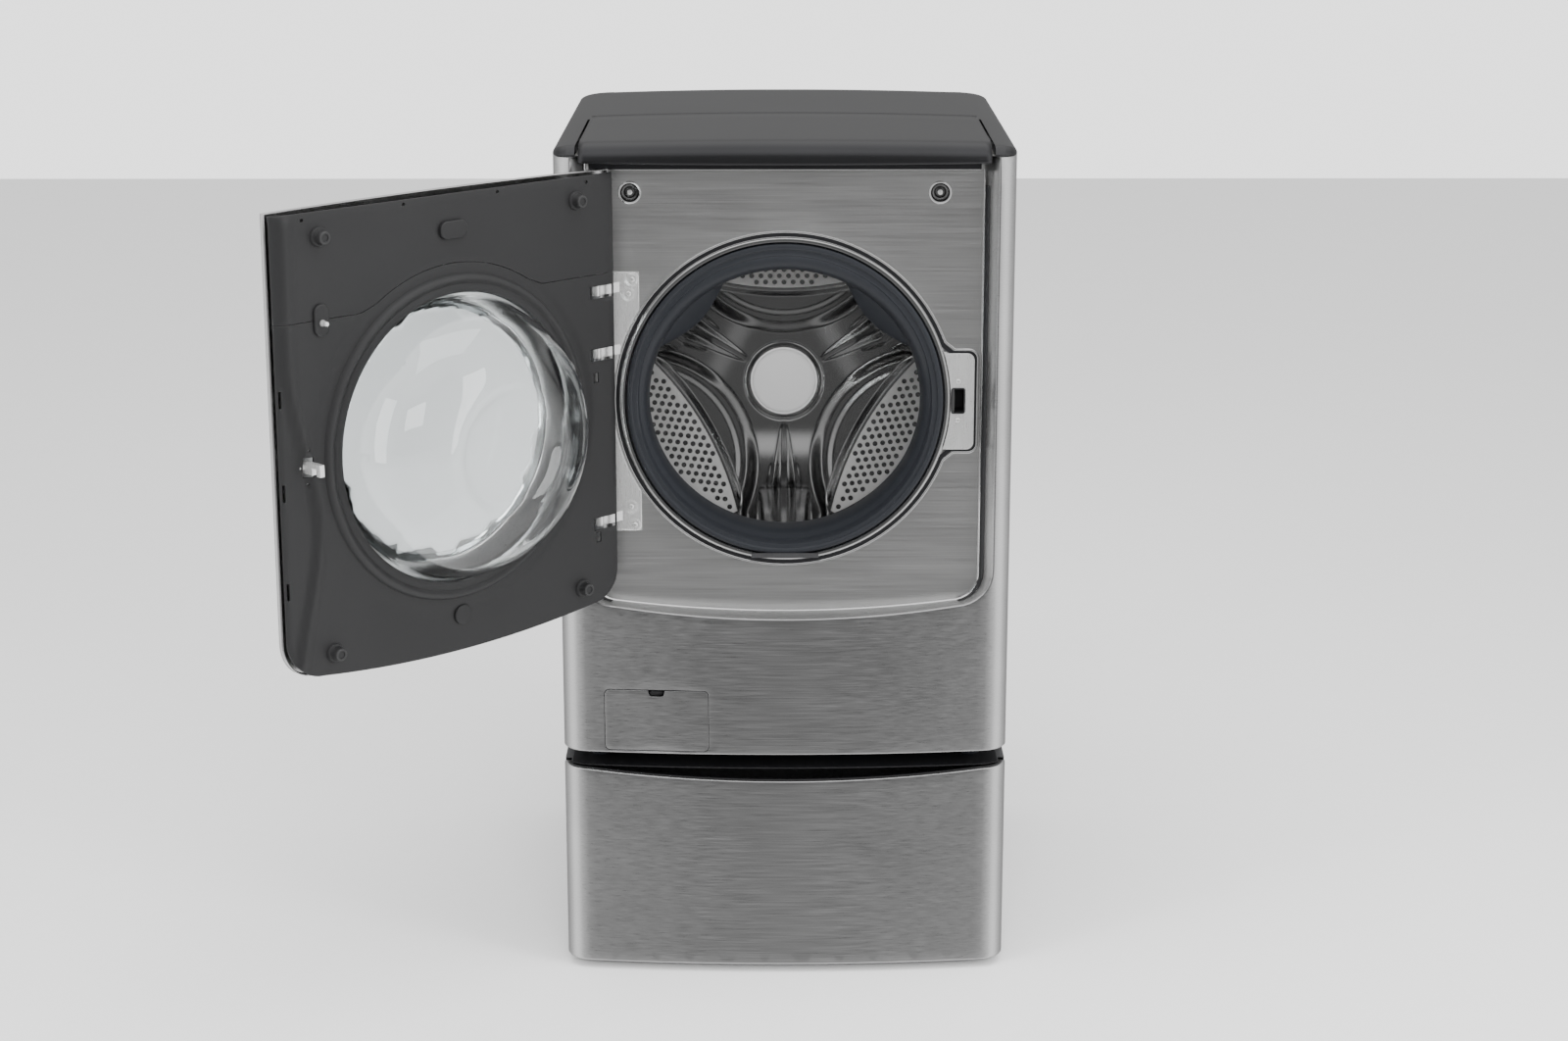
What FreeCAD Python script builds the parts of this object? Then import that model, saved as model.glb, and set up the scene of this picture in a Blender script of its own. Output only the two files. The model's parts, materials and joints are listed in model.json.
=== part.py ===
import FreeCAD, Part
import math
import os
import re
import Sketcher

# Front load washing machine standing on a drawer pedestal.
# Frame: +Z up, the front faces -Y, the origin is on the floor at the middle of the four feet.
# Sizes are in millimetres.

SIZES = [
    ("cabinet_width", 737, "outside width"),
    ("front_reach", 419, "front surface ahead of the origin, at mid width"),
    ("rear_reach", 395, "outer face of the rear panel behind the origin"),
    ("bow", 20, "how far the middle of the front stands ahead of its edges"),
    ("corner_inset", 38.5, "width of the rounded front corner"),
    ("sheet", 1.2, "cabinet sheet metal"),
    ("skin", 3, "front skins and covers"),
    ("seam", 0.3, "gap between pieces that are not clamped together"),
    ("pedestal_height", 360, "floor to the pedestal's top plate"),
    ("floor_gap", 16, "floor to the pedestal's bottom plate"),
    ("washer_gap", 26, "pedestal top to the washer's bottom edge"),
    ("washer_height", 987, "height of the washer's side panels"),
    ("foot_inset_x", 58.5, "side to foot centre"),
    ("foot_inset_y", 70, "rear panel to foot centre"),
    ("foot_radius", 20, "rubber foot"),
    ("foot_height", 9, "rubber foot"),
    ("stud_radius", 5, "levelling stud"),
    ("nut_height", 6, "levelling lock nut"),
    ("drawer_top_gap", 4, "pedestal top to the drawer front's ends"),
    ("drawer_dip", 16, "how far the drawer's top edge dips at mid width"),
    ("drawer_side_gap", 39, "drawer box to the pedestal's inner wall"),
    ("drawer_depth", 660, "drawer box, front to back"),
    ("drawer_box_height", 220, "drawer box"),
    ("rail_height", 34, "drawer rail"),
    ("rail_fit", 0.1, "clearance of the sliding rail in its channel"),
    ("panel_reach", 365, "recessed front panel's face ahead of the origin"),
    ("column_width", 50.5, "side of the washer to the recess, at the panel"),
    ("recess_flare", 0.627, "how fast the recess widens towards the front"),
    ("recess_floor", 234, "washer's bottom edge to the middle of the recess floor"),
    ("smile_radius", 2100, "curve of the recess floor"),
    ("recess_corner", 45, "lower corners of the recess"),
    ("opening_rise", 588, "washer's bottom edge to the loading opening's centre"),
    ("ring_radius", 275, "outer radius of the opening trim ring"),
    ("ring_width", 17, "trim ring"),
    ("lip_radius", 221, "free opening of the door gasket"),
    ("gasket_wall", 5, "door gasket"),
    ("drum_tilt", 8.4, "drum axis below level, degrees"),
    ("tub_reach", 300, "tub datum ahead of the origin, along the drum axis"),
    ("tub_radius", 312, "outer tub, inside"),
    ("tub_wall", 6, "outer tub"),
    ("tub_depth", 472, "tub datum to the inside of its rear wall"),
    ("drum_radius", 290, "drum, inside"),
    ("drum_wall", 1.2, "drum sheet"),
    ("drum_depth", 452, "tub datum to the face of the drum's back"),
    ("drum_mouth", 238, "radius of the drum's front opening"),
    ("cap_radius", 62, "cap at the middle of the drum's back"),
    ("shaft_radius", 17.5, "drum shaft"),
    ("shaft_fit", 0.05, "radial clearance of the shaft in its bearings"),
    ("bearing_radius", 31, "outside of the bearings"),
    ("lifter_height", 100, "drum lifter"),
    ("lifter_half", 48, "half the width of a lifter"),
    ("lifter_foot", 66, "half the width of a lifter's flared foot"),
    ("lifter_wall", 3, "drum lifter"),
    ("spring_x", 332, "suspension spring from mid width"),
    ("spring_y", -30, "suspension spring"),
    ("spring_radius", 14, "suspension spring coil"),
    ("spring_wire", 2, "radius of the spring's wire"),
    ("damper_x", 200, "damper from mid width"),
    ("damper_front_y", -120, "front dampers"),
    ("damper_rear_y", 110, "rear dampers"),
    ("damper_radius", 16, "damper body"),
    ("damper_rod", 8, "damper rod radius"),
    ("damper_fit", 0.08, "radial clearance of the damper rod"),
    ("shoulder_rise", 15, "top cover's shoulder above the side panels"),
    ("shoulder_width", 34, "top cover's rounded shoulder"),
    ("shoulder_radius", 40, "top cover's rounded shoulder"),
    ("crown_rise", 21, "top cover's middle above the side panels"),
    ("lid_rise", 5, "sliding lid's face above the top cover"),
    ("lid_skin", 4, "sliding lid"),
    ("lid_half_gap", 40.5, "side of the washer to the lid's edge"),
    ("lid_rear", 25, "rear edge of the lid ahead of the origin"),
    ("lid_nose", 12, "thickness of the lid's front edge"),
    ("nose_drop", 10, "lid's front edge below the side panels' top"),
    ("bay_gap", 4, "gap round the sliding lid"),
    ("door_proud", 11, "door's face ahead of the front's curve"),
    ("door_side_gap", 10, "door's edge to the recess, at the column's face"),
    ("door_gap", 11, "door to the recess floor and to the lid"),
    ("door_corner", 60, "lower corners of the door"),
    ("door_back", 383, "inner covers' plane ahead of the origin, door shut"),
    ("door_open", 135, "opening angle of the door at rest, degrees"),
    ("hinge_inset", 17, "recess edge to the hinge axis"),
    ("hinge_reach", 400, "hinge axis ahead of the origin"),
    ("pin_radius", 3, "hinge pin"),
    ("knuckle_radius", 7, "hinge knuckle"),
    ("knuckle_height", 16, "hinge knuckle"),
    ("knuckle_gap", 0.2, "between neighbouring knuckles"),
    ("leaf_back", 9, "hinge axis to the front of the leaf's base"),
    ("pin_fit", 0.05, "radial clearance of the hinge pin"),
    ("bowl_radius", 226, "rim of the glass bowl"),
    ("bowl_depth", 135, "door's inner plane to the bowl's back"),
    ("glass", 5, "thickness of the glass"),
    ("window_radius", 205, "clear window in the door's outer panel"),
    ("cover_seam_rise", 804, "washer's bottom edge to the seam of the inner door covers"),
    ("bumper_x", 247, "door bumpers from mid width"),
    ("bumper_top_drop", 61, "side panels' top to the upper bumpers"),
    ("bumper_low_rise", 297, "washer's bottom edge to the lower bumpers"),
    ("bumper_radius", 11.5, "door bumper"),
    ("cup_radius", 15.5, "bumper cup in the front panel"),
    ("latch_x", 280, "latch from mid width"),
    ("latch_half_width", 9.5, "latch slot"),
    ("latch_half_height", 19.5, "latch slot"),
    ("hook_half_width", 4, "door hook"),
    ("hook_half_height", 9, "door hook"),
    ("flap_left", 298, "filter flap's outer edge from mid width"),
    ("flap_right", 126, "filter flap's inner edge from mid width"),
    ("flap_low", 5, "washer's bottom edge to the flap's opening"),
    ("flap_height", 105, "filter flap's opening"),
    ("flap_gap", 0.8, "gap round the flap"),
    ("filter_rise", 54, "washer's bottom edge to the filter's axis"),
    ("filter_x", -212, "filter from mid width"),
    ("filter_radius", 27, "filter cap"),
    ("sump_x", -60, "sump hose from mid width"),
    ("sump_y", -215, "sump hose"),
    ("sump_radius", 20, "sump hose"),
    ("inlet_radius", 13.2, "water inlet thread"),
    ("inlet_x", 220, "middle of the water inlets"),
    ("inlet_pitch", 60, "between the water inlets"),
    ("inlet_drop", 83, "side panels' top to the water inlets"),
    ("drain_radius", 11, "drain hose"),
    ("drain_x", -140, "drain outlet"),
    ("drain_rise", 174, "washer's bottom edge to the drain outlet"),
    ("hose_bend", 40, "drain hose's bend at the base"),
    ("outlet_bend", 26, "drain hose's bend at the outlet"),
    ("access_radius", 190, "motor access cover"),
]

os.makedirs("parts", exist_ok=True)
doc = FreeCAD.newDocument("front_load_washer")
sheet = doc.addObject("Spreadsheet::Sheet", "sizes")
for row, (alias, number, meaning) in enumerate(SIZES, start=1):
    sheet.set("A%d" % row, str(number))
    sheet.setAlias("A%d" % row, alias)
    sheet.set("B%d" % row, meaning)
doc.recompute()

ALIASES = {alias for alias, _, _ in SIZES}
ORIGIN = FreeCAD.Vector(0, 0, 0)
X_AXIS = FreeCAD.Vector(1, 0, 0)
Y_AXIS = FreeCAD.Vector(0, 1, 0)
Z_AXIS = FreeCAD.Vector(0, 0, 1)
nodes = {}

# ---- places worked out from the sizes, as expressions ----
HALF = "(cabinet_width / 2)"
REAR = "(rear_reach - sheet)"
BASE = "(pedestal_height + washer_gap)"
TOP = "(pedestal_height + washer_gap + washer_height)"
MOUTH_Z = "(pedestal_height + washer_gap + opening_rise)"
EDGE = "(cabinet_width / 2 - corner_inset)"
BOW_R = "((%s^2 + bow^2) / (2 * bow))" % EDGE
BOW_Y = "(%s - front_reach)" % BOW_R
SIN_A = "(%s / %s)" % (EDGE, BOW_R)
COS_A = "sqrt(1 - %s^2)" % SIN_A
CORNER_R = "(corner_inset / (1 - %s))" % SIN_A
SIDE_Y = "(%s - (%s - %s) * %s)" % (BOW_Y, BOW_R, CORNER_R, COS_A)
BEHIND = "(%s + seam)" % SIDE_Y
RECESS_HALF = "(cabinet_width / 2 - column_width)"
RECESS_Z = "(pedestal_height + washer_gap + recess_floor)"
DOOR_HALF = "(%s + (front_reach - bow - panel_reach) * recess_flare - door_side_gap)" % RECESS_HALF
DOOR_TOP = "(%s - nose_drop - door_gap)" % TOP
HINGE_X = "(hinge_inset - %s)" % RECESS_HALF
LID_HALF = "(cabinet_width / 2 - lid_half_gap)"
FOOT_X = "(cabinet_width / 2 - foot_inset_x)"
FOOT_Y = "(rear_reach - foot_inset_y)"
BOX_HALF = "(cabinet_width / 2 - 2 * sheet - drawer_side_gap)"
RAIL_Z = "(floor_gap + 104)"
ARM_LEVELS = (" + 187", " + 86", " - 191")


# ---- helpers ----
def linked(expression):
    """Name the sheet in front of each of its aliases."""
    word = re.compile(r"[a-z_]+")
    return word.sub(lambda m: "sizes." + m.group() if m.group() in ALIASES else m.group(), str(expression))


def value(expression):
    return float(sheet.evalExpression(linked(expression)))


def bind(obj, **properties):
    for name, expression in properties.items():
        obj.setExpression(name.replace("__", "."), linked(expression))
    return obj


def placed(obj, x, y, z):
    return bind(obj, Placement__Base__x=x, Placement__Base__y=y, Placement__Base__z=z)


def keep(obj, label):
    """Make obj the sub-part called label."""
    obj.Label = label
    nodes[label] = obj
    return obj


def box(x, y, z):
    """A block between the low and high expressions of each axis."""
    block = doc.addObject("Part::Box", "block")
    bind(block, Length="%s - (%s)" % (x[1], x[0]), Width="%s - (%s)" % (y[1], y[0]),
         Height="%s - (%s)" % (z[1], z[0]))
    return placed(block, x[0], y[0], z[0])


def rod(radius, length, x, y, z, axis=Z_AXIS):
    """A cylinder that starts at a point and runs along an axis."""
    cylinder = doc.addObject("Part::Cylinder", "rod")
    cylinder.Placement = FreeCAD.Placement(ORIGIN, FreeCAD.Rotation(Z_AXIS, axis))
    bind(cylinder, Radius=radius, Height=length)
    return placed(cylinder, x, y, z)


def tube(outer, inner, length, x, y, z, axis=Z_AXIS):
    return cut(rod(outer, length, x, y, z, axis), rod(inner, length, x, y, z, axis))


def fuse(*pieces):
    joined = doc.addObject("Part::MultiFuse", "joined")
    joined.Shapes = list(pieces)
    return joined


def cut(base, *tools):
    result = doc.addObject("Part::Cut", "cut")
    result.Base = base
    result.Tool = tools[0] if len(tools) == 1 else fuse(*tools)
    return result


def common(*pieces):
    result = doc.addObject("Part::MultiCommon", "common")
    result.Shapes = list(pieces)
    return result


def group(*pieces):
    """Several separate solids in one sub-part."""
    bunch = doc.addObject("Part::Compound", "bunch")
    bunch.Links = list(pieces)
    return bunch


def turned_to(obj, placement):
    obj.Placement = placement
    return obj


def arc_centre(start, end, radius, left):
    """Centre of the arc from start to end that turns left or right."""
    chord = end - start
    half = chord.Length / 2
    rise = math.sqrt(max(radius ** 2 - half ** 2, 0))
    normal = FreeCAD.Vector(-chord.y, chord.x, 0).normalize()
    return (start + end) / 2 + normal * (rise if left else -rise)


def outline(sketch, points):
    """A closed outline.  A point is (x, y), or (x, y, turn, radius) when an arc leaves it."""
    corners = [FreeCAD.Vector(value(p[0]), value(p[1]), 0) for p in points]
    ends = []
    for index, point in enumerate(points):
        start, end = corners[index], corners[(index + 1) % len(points)]
        if len(point) == 2:
            edge = sketch.addGeometry(Part.LineSegment(start, end))
            ends.append((edge, 1, 2))
            continue
        left = point[2] == "left"
        centre = arc_centre(start, end, value(point[3]), left)
        first, last = (start, end) if left else (end, start)
        angles = [math.atan2(p.y - centre.y, p.x - centre.x) for p in (first, last)]
        if angles[1] < angles[0]:
            angles[1] += 2 * math.pi
        circle = Part.Circle(centre, Z_AXIS, value(point[3]))
        edge = sketch.addGeometry(Part.ArcOfCircle(circle, angles[0], angles[1]))
        ends.append((edge, 1, 2) if left else (edge, 2, 1))
        number = sketch.addConstraint(Sketcher.Constraint("Radius", edge, value(point[3])))
        sketch.setExpression("Constraints[%d]" % number, linked(point[3]))
    for index, point in enumerate(points):
        edge, start_end, far_end = ends[index]
        next_edge, next_start, _ = ends[(index + 1) % len(points)]
        sketch.addConstraint(Sketcher.Constraint("Coincident", edge, far_end, next_edge, next_start))
        for kind, expression in (("DistanceX", point[0]), ("DistanceY", point[1])):
            number = sketch.addConstraint(Sketcher.Constraint(kind, edge, start_end, value(expression)))
            sketch.setExpression("Constraints[%d]" % number, linked(expression))


def new_sketch(body, plane, offset, points):
    sketch = body.newObject("Sketcher::SketchObject", "outline")
    support = [f for f in body.Origin.OriginFeatures if f.Role == plane][0]
    sketch.AttachmentSupport = [(support, "")]
    sketch.MapMode = "FlatFace"
    bind(sketch, AttachmentOffset__Base__z=offset)
    outline(sketch, points)
    return sketch


def slab(points, low, high):
    """A plan outline (x, y) raised from low to high along Z."""
    body = doc.addObject("PartDesign::Body", "slab")
    pad = body.newObject("PartDesign::Pad", "pad")
    pad.Profile = new_sketch(body, "XY_Plane", low, points)
    bind(pad, Length="%s - (%s)" % (high, low))
    return body


def plate(points, front, back):
    """A front view outline (x, z) run from back to front along -Y."""
    body = doc.addObject("PartDesign::Body", "plate")
    pad = body.newObject("PartDesign::Pad", "pad")
    pad.Profile = new_sketch(body, "XZ_Plane", "-(%s)" % back, points)
    bind(pad, Length="%s - (%s)" % (back, front))
    return body


def loft(points_back, back, points_front, front):
    """Front view outlines joined by straight walls."""
    body = doc.addObject("PartDesign::Body", "loft")
    first = new_sketch(body, "XZ_Plane", "-(%s)" % back, points_back)
    second = new_sketch(body, "XZ_Plane", "-(%s)" % front, points_front)
    walls = body.newObject("PartDesign::AdditiveLoft", "walls")
    walls.Profile = first
    walls.Sections = [second]
    walls.Ruled = True
    return body


def turned(points, placement):
    """A profile (radius, height) turned about the local Z axis."""
    body = doc.addObject("PartDesign::Body", "turned")
    sketch = new_sketch(body, "XZ_Plane", "0", points)
    revolution = body.newObject("PartDesign::Revolution", "revolution")
    revolution.Profile = sketch
    revolution.ReferenceAxis = (sketch, ["V_Axis"])
    revolution.Angle = 360
    return turned_to(body, placement)


def band(inner, outer, low, high):
    """Profile points of a plain ring."""
    return [(inner, low), (outer, low), (outer, high), (inner, high)]


def ring(inner, outer, low, high, placement):
    return turned(band(inner, outer, low, high), placement)


def rounded(base, radius, wanted):
    """Fillet the edges of base whose middle point satisfies wanted."""
    doc.recompute()
    fillet = doc.addObject("Part::Fillet", "rounded")
    fillet.Base = base
    edges = []
    for number, edge in enumerate(base.Shape.Edges, start=1):
        middle = edge.valueAt((edge.FirstParameter + edge.LastParameter) / 2)
        if wanted(edge, middle):
            edges.append((number, radius, radius))
    fillet.Edges = edges
    return fillet


# ---- shared curves and frames ----
def front_y(x, proud="0"):
    """Depth of the bowed front at x, moved out by proud."""
    return "(%s - sqrt((%s + %s)^2 - (%s)^2))" % (BOW_Y, BOW_R, proud, x)


def cabinet_plan(inset, back):
    """Plan of the cabinet, moved in by inset: bowed front, rounded front corners, straight sides."""
    side = "(cabinet_width / 2 - %s)" % inset
    edge = "(%s - (%s) * %s)" % (EDGE, inset, SIN_A)
    edge_y = "(%s - (%s - (%s)) * %s)" % (BOW_Y, BOW_R, inset, COS_A)
    corner = "(%s - (%s))" % (CORNER_R, inset)
    return [("-" + side, back), ("-" + side, SIDE_Y, "left", corner),
            ("-" + edge, edge_y, "left", "%s - (%s)" % (BOW_R, inset)),
            (edge, edge_y, "left", corner), (side, SIDE_Y), (side, back)]


def bowed_plan(half, proud, back):
    """Plan of a straight-sided piece with the bowed front."""
    return [("-" + half, back), ("-" + half, front_y(half, proud), "left", "%s + %s" % (BOW_R, proud)),
            (half, front_y(half, proud)), (half, back)]


def smile_z(x, raised):
    """Height of the recess floor's curve at x, raised by a gap."""
    return "(%s + (%s) + smile_radius - sqrt(smile_radius^2 - (%s)^2))" % (RECESS_Z, raised, x)


def recess_outline(half, raised, top, corner="recess_corner"):
    """Front view of the door recess or the door: curved floor, rounded lower corners, open top."""
    inner = "(%s - %s)" % (half, corner)
    wall_z = "(%s + %s)" % (smile_z(inner, raised), corner)
    return [("-" + half, top), ("-" + half, wall_z, "left", corner),
            ("-" + inner, smile_z(inner, raised), "left", "smile_radius"),
            (inner, smile_z(inner, raised), "left", corner), (half, wall_z), (half, top)]


def crown_outline(half, low, lift):
    """Cross-section (x, z) under the top cover's crowned face: low is the bottom, lift raises the crown."""
    shoulder = "(%s + shoulder_rise + (%s))" % (TOP, lift)
    rise = "(crown_rise - shoulder_rise)"
    radius = "((%s^2 + %s^2) / (2 * %s))" % (half, rise, rise)
    return [("-" + half, low), (half, low), (half, shoulder, "left", radius), ("-" + half, shoulder)]


def mouth_frame():
    """Local Z runs straight back (+Y) through the centre of the loading opening."""
    return FreeCAD.Placement(FreeCAD.Vector(0, 0, value(MOUTH_Z)), FreeCAD.Rotation(X_AXIS, -90))


def tub_frame():
    """Local Z runs back along the tilted drum axis from the tub's datum, local Y points down."""
    tilt = value("drum_tilt")
    drop = (value("panel_reach") - value("tub_reach")) * math.tan(math.radians(tilt))
    base = FreeCAD.Vector(0, -value("tub_reach"), value(MOUTH_Z) - drop)
    return FreeCAD.Placement(base, FreeCAD.Rotation(X_AXIS, -90 - tilt))


def axis_z(y):
    """Height of the drum axis at depth y."""
    return "(%s - (panel_reach + (%s)) * tan(drum_tilt))" % (MOUTH_Z, y)


def hung(obj, label):
    """Swing a door piece, modelled with the door shut, to the open rest pose."""
    hinge = FreeCAD.Vector(value(HINGE_X), -value("hinge_reach"), 0)
    swing = FreeCAD.Placement(ORIGIN, FreeCAD.Rotation(Z_AXIS, -value("door_open")), hinge)
    carrier = group(obj)
    carrier.Placement = swing
    return keep(carrier, label)


def four(make):
    """The same piece at each foot."""
    return [make(sx + FOOT_X, sy + FOOT_Y) for sx in ("-", "") for sy in ("-", "")]


# ---- feet ----
def levelling_foot(x, y, floor, plate_z, radius):
    """Rubber pad with its stud, which stands through the plate above it."""
    pad = rod(radius, "foot_height", x, y, floor)
    stud = rod("stud_radius", "%s - (%s) + 10" % (plate_z, floor), x, y, floor)
    return fuse(pad, stud)


def lock_nut(x, y, plate_z):
    under = "(%s - nut_height)" % plate_z
    blank = doc.addObject("Part::Prism", "nut")
    blank.Polygon = 6
    bind(blank, Circumradius="2 * stud_radius", Height="nut_height")
    placed(blank, x, y, under)
    return cut(blank, rod("stud_radius + pin_fit", "nut_height", x, y, under))


def feet():
    stands = (("0", "floor_gap", "foot_radius"), ("pedestal_height", BASE, "foot_radius - 3"))
    keep(group(*[foot for floor, under, radius in stands
                 for foot in four(lambda x, y: levelling_foot(x, y, floor, under, radius))]), "levelling_feet")
    keep(group(*[nut for _, under, _ in stands
                 for nut in four(lambda x, y: lock_nut(x, y, under))]), "foot_lock_nuts")


def stud_holes(low, height):
    return four(lambda x, y: rod("stud_radius + pin_fit", height, x, y, low))


# ---- pedestal and drawer ----
def pedestal():
    side = "(%s - sheet)" % HALF
    inner = "(%s - 2 * sheet)" % HALF
    front = "(-%s)" % "(panel_reach - 13)"
    shell = box(("-" + side, side), (front, "rear_reach - sheet"), ("floor_gap", "pedestal_height"))
    bay = box(("-" + inner, inner), (front + " - 1", "rear_reach - 2 * sheet"),
              ("floor_gap + sheet", "pedestal_height - sheet"))
    brow = common(slab(cabinet_plan("12", front), "pedestal_height - sheet", "pedestal_height"),
                  box(("-" + side, side), ("-front_reach", front), ("0", "pedestal_height")))
    keep(cut(fuse(cut(shell, bay), brow), *stud_holes("floor_gap - 1", "2 * sheet")), "pedestal_cabinet")


def drawer_rails():
    inner = "(%s - 2 * sheet)" % HALF
    fixed, moving = [], []
    for side in ("-", ""):
        span = sorted((side + inner, side + "(%s - 18.5)" % inner), key=value)
        slot = sorted((side + "(%s - 6.5)" % inner, side + "(%s - 19.5)" % inner), key=value)
        bar = sorted((side + "(%s - 6.5 - rail_fit)" % inner, side + BOX_HALF), key=value)
        depth = ("-panel_reach + 20", "-panel_reach + 20 + drawer_depth")
        fixed.append(cut(box(span, depth, (RAIL_Z, RAIL_Z + " + rail_height")),
                         box(slot, (depth[0] + " - 1", depth[1] + " + 1"),
                             (RAIL_Z + " + 6", RAIL_Z + " + rail_height - 6"))))
        moving.append(box(bar, depth, (RAIL_Z + " + 6 + rail_fit", RAIL_Z + " + rail_height - 6 - rail_fit")))
    keep(group(*fixed), "drawer_rails_fixed")
    keep(group(*moving), "drawer_rails_moving")


def drawer():
    low = "(floor_gap - 2)"
    top = "(pedestal_height - drawer_top_gap)"
    back = "(-(panel_reach - 13 + seam))"
    front = slab(cabinet_plan("0", back), low, top)
    hollow = slab(cabinet_plan("skin", "(%s + 1)" % back), low + " + skin", top + " - drawer_dip - skin")
    grip_radius = "((%s^2 + drawer_dip^2) / (2 * drawer_dip))" % EDGE
    grip = rod(grip_radius, "rear_reach", "0", "-rear_reach - 60",
               "%s - drawer_dip + %s" % (top, grip_radius), Y_AXIS)
    face = cut(front, hollow, grip)
    keep(rounded(face, 2.5, lambda edge, p: p.z > value(top) - value("drawer_dip") - 2
                 and edge.Length > 200 and p.y < -value("panel_reach") - 20), "drawer_front")
    depth = ("-(panel_reach - 13)", "-(panel_reach - 13) + drawer_depth")
    tray = box(("-" + BOX_HALF, BOX_HALF), depth, ("floor_gap + 14", "floor_gap + 14 + drawer_box_height"))
    space = box(("-%s + sheet" % BOX_HALF, BOX_HALF + " - sheet"), (depth[0] + " + sheet", depth[1] + " - sheet"),
                ("floor_gap + 14 + sheet", "floor_gap + 15 + drawer_box_height"))
    stop = box(("-" + BOX_HALF, BOX_HALF), (back + " - 1", depth[0]), ("floor_gap + 14", "floor_gap + 234"))
    keep(fuse(cut(tray, space), common(stop, box(("-" + HALF, HALF), (back, "0"), ("0", TOP)))), "drawer_box")


# ---- washer cabinet ----
def cabinet_shell():
    inner = "(%s - sheet)" % HALF
    frame = box(("-" + inner, inner), ("-(panel_reach - 27)", REAR), (BASE, BASE + " + 25"))
    well = box(("-%s + 3" % inner, inner + " - 3"), ("-(panel_reach - 30)", REAR + " - 3"),
               (BASE + " + 3", BASE + " + 26"))
    filter_room = rod("filter_radius + 10", "60", "filter_x", "-panel_reach", BASE + " + filter_rise", Y_AXIS)
    keep(cut(frame, well, filter_room, *stud_holes(BASE + " - 1", "6")), "base_frame")
    bracket_y = ("spring_y - 25", "spring_y + 25")
    for side, label in (("-", "side_panel_left"), ("", "side_panel_right")):
        def across(near, far):
            return sorted((side + near, side + far), key=value)
        wall = box(across(HALF, inner), (BEHIND, REAR), (BASE, TOP))
        rear_flange = box(across(inner, "(%s - 15)" % inner), (REAR + " - sheet", REAR), (BASE + " + 30", TOP))
        top_flange = box(across(inner, "(%s - 15)" % inner), ("-(panel_reach - 20)", REAR), (TOP + " - sheet", TOP))
        hanger = box(across(inner, "(spring_x - spring_radius - 8)"), bracket_y, (TOP + " - 46", TOP + " - 43"))
        keep(fuse(wall, rear_flange, top_flange, hanger), label)


def rear_panel():
    centre_z = axis_z("rear_reach")
    wall = box(("-" + HALF, HALF), (REAR, "rear_reach"), (BASE, TOP))
    holes = [rod("access_radius - 20", "9", "0", "rear_reach - 6", centre_z, Y_AXIS),
             rod("drain_radius + seam", "9", "drain_x", "rear_reach - 6", BASE + " + drain_rise", Y_AXIS),
             rod("9 + seam", "9", "-inlet_x", "rear_reach - 6", TOP + " - inlet_drop", Y_AXIS)]
    for x in ("inlet_x - inlet_pitch / 2", "inlet_x + inlet_pitch / 2"):
        holes.append(rod("inlet_radius + seam", "9", x, "rear_reach - 6", TOP + " - inlet_drop", Y_AXIS))
    keep(cut(wall, *holes), "rear_panel")
    dish = turned([("0", "rear_reach + 6"), ("access_radius - 25", "rear_reach + 6"),
                   ("access_radius - 15", "rear_reach"), ("access_radius", "rear_reach"),
                   ("access_radius", "rear_reach + 1.5"), ("access_radius - 14", "rear_reach + 1.5"),
                   ("access_radius - 24", "rear_reach + 7.5"), ("0", "rear_reach + 7.5")],
                  FreeCAD.Placement(FreeCAD.Vector(0, 0, value(centre_z)), FreeCAD.Rotation(X_AXIS, -90)))
    keep(dish, "rear_access_cover")


def recess_block(inset, top):
    """The door recess, widening towards the front; inset makes it larger all round."""
    front = "(front_reach + 30)"
    back_half = "(%s + %s)" % (RECESS_HALF, inset)
    front_half = "(%s + (%s - panel_reach) * recess_flare)" % (back_half, front)
    return loft(recess_outline(back_half, "-(%s)" % inset, top), "-(panel_reach - 1)",
                recess_outline(front_half, "-(%s)" % inset, top), "-" + front)


def front_frame():
    """Columns and lower panel in one bowed skin, with the walls and floor of the door recess."""
    block = slab(cabinet_plan("0", BEHIND), BASE, TOP)
    hollow = cut(slab(cabinet_plan("skin", BEHIND + " + 1"), BASE + " + skin", TOP + " - skin"),
                 recess_block("skin", TOP + " + 1"))
    panel_room = box(("-%s + 8.5" % HALF, HALF + " - 8.5"), ("-panel_reach", "-panel_reach + 20"),
                     (BASE + " - 1", TOP + " + 1"))
    flap_hole = box(("-flap_left", "-flap_right"), ("-front_reach - 5", "-panel_reach"),
                    (BASE + " + flap_low", BASE + " + flap_low + flap_height"))
    frame = cut(block, hollow, panel_room, recess_block("0", TOP + " + 2"), flap_hole)
    keep(frame, "front_frame")


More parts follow.
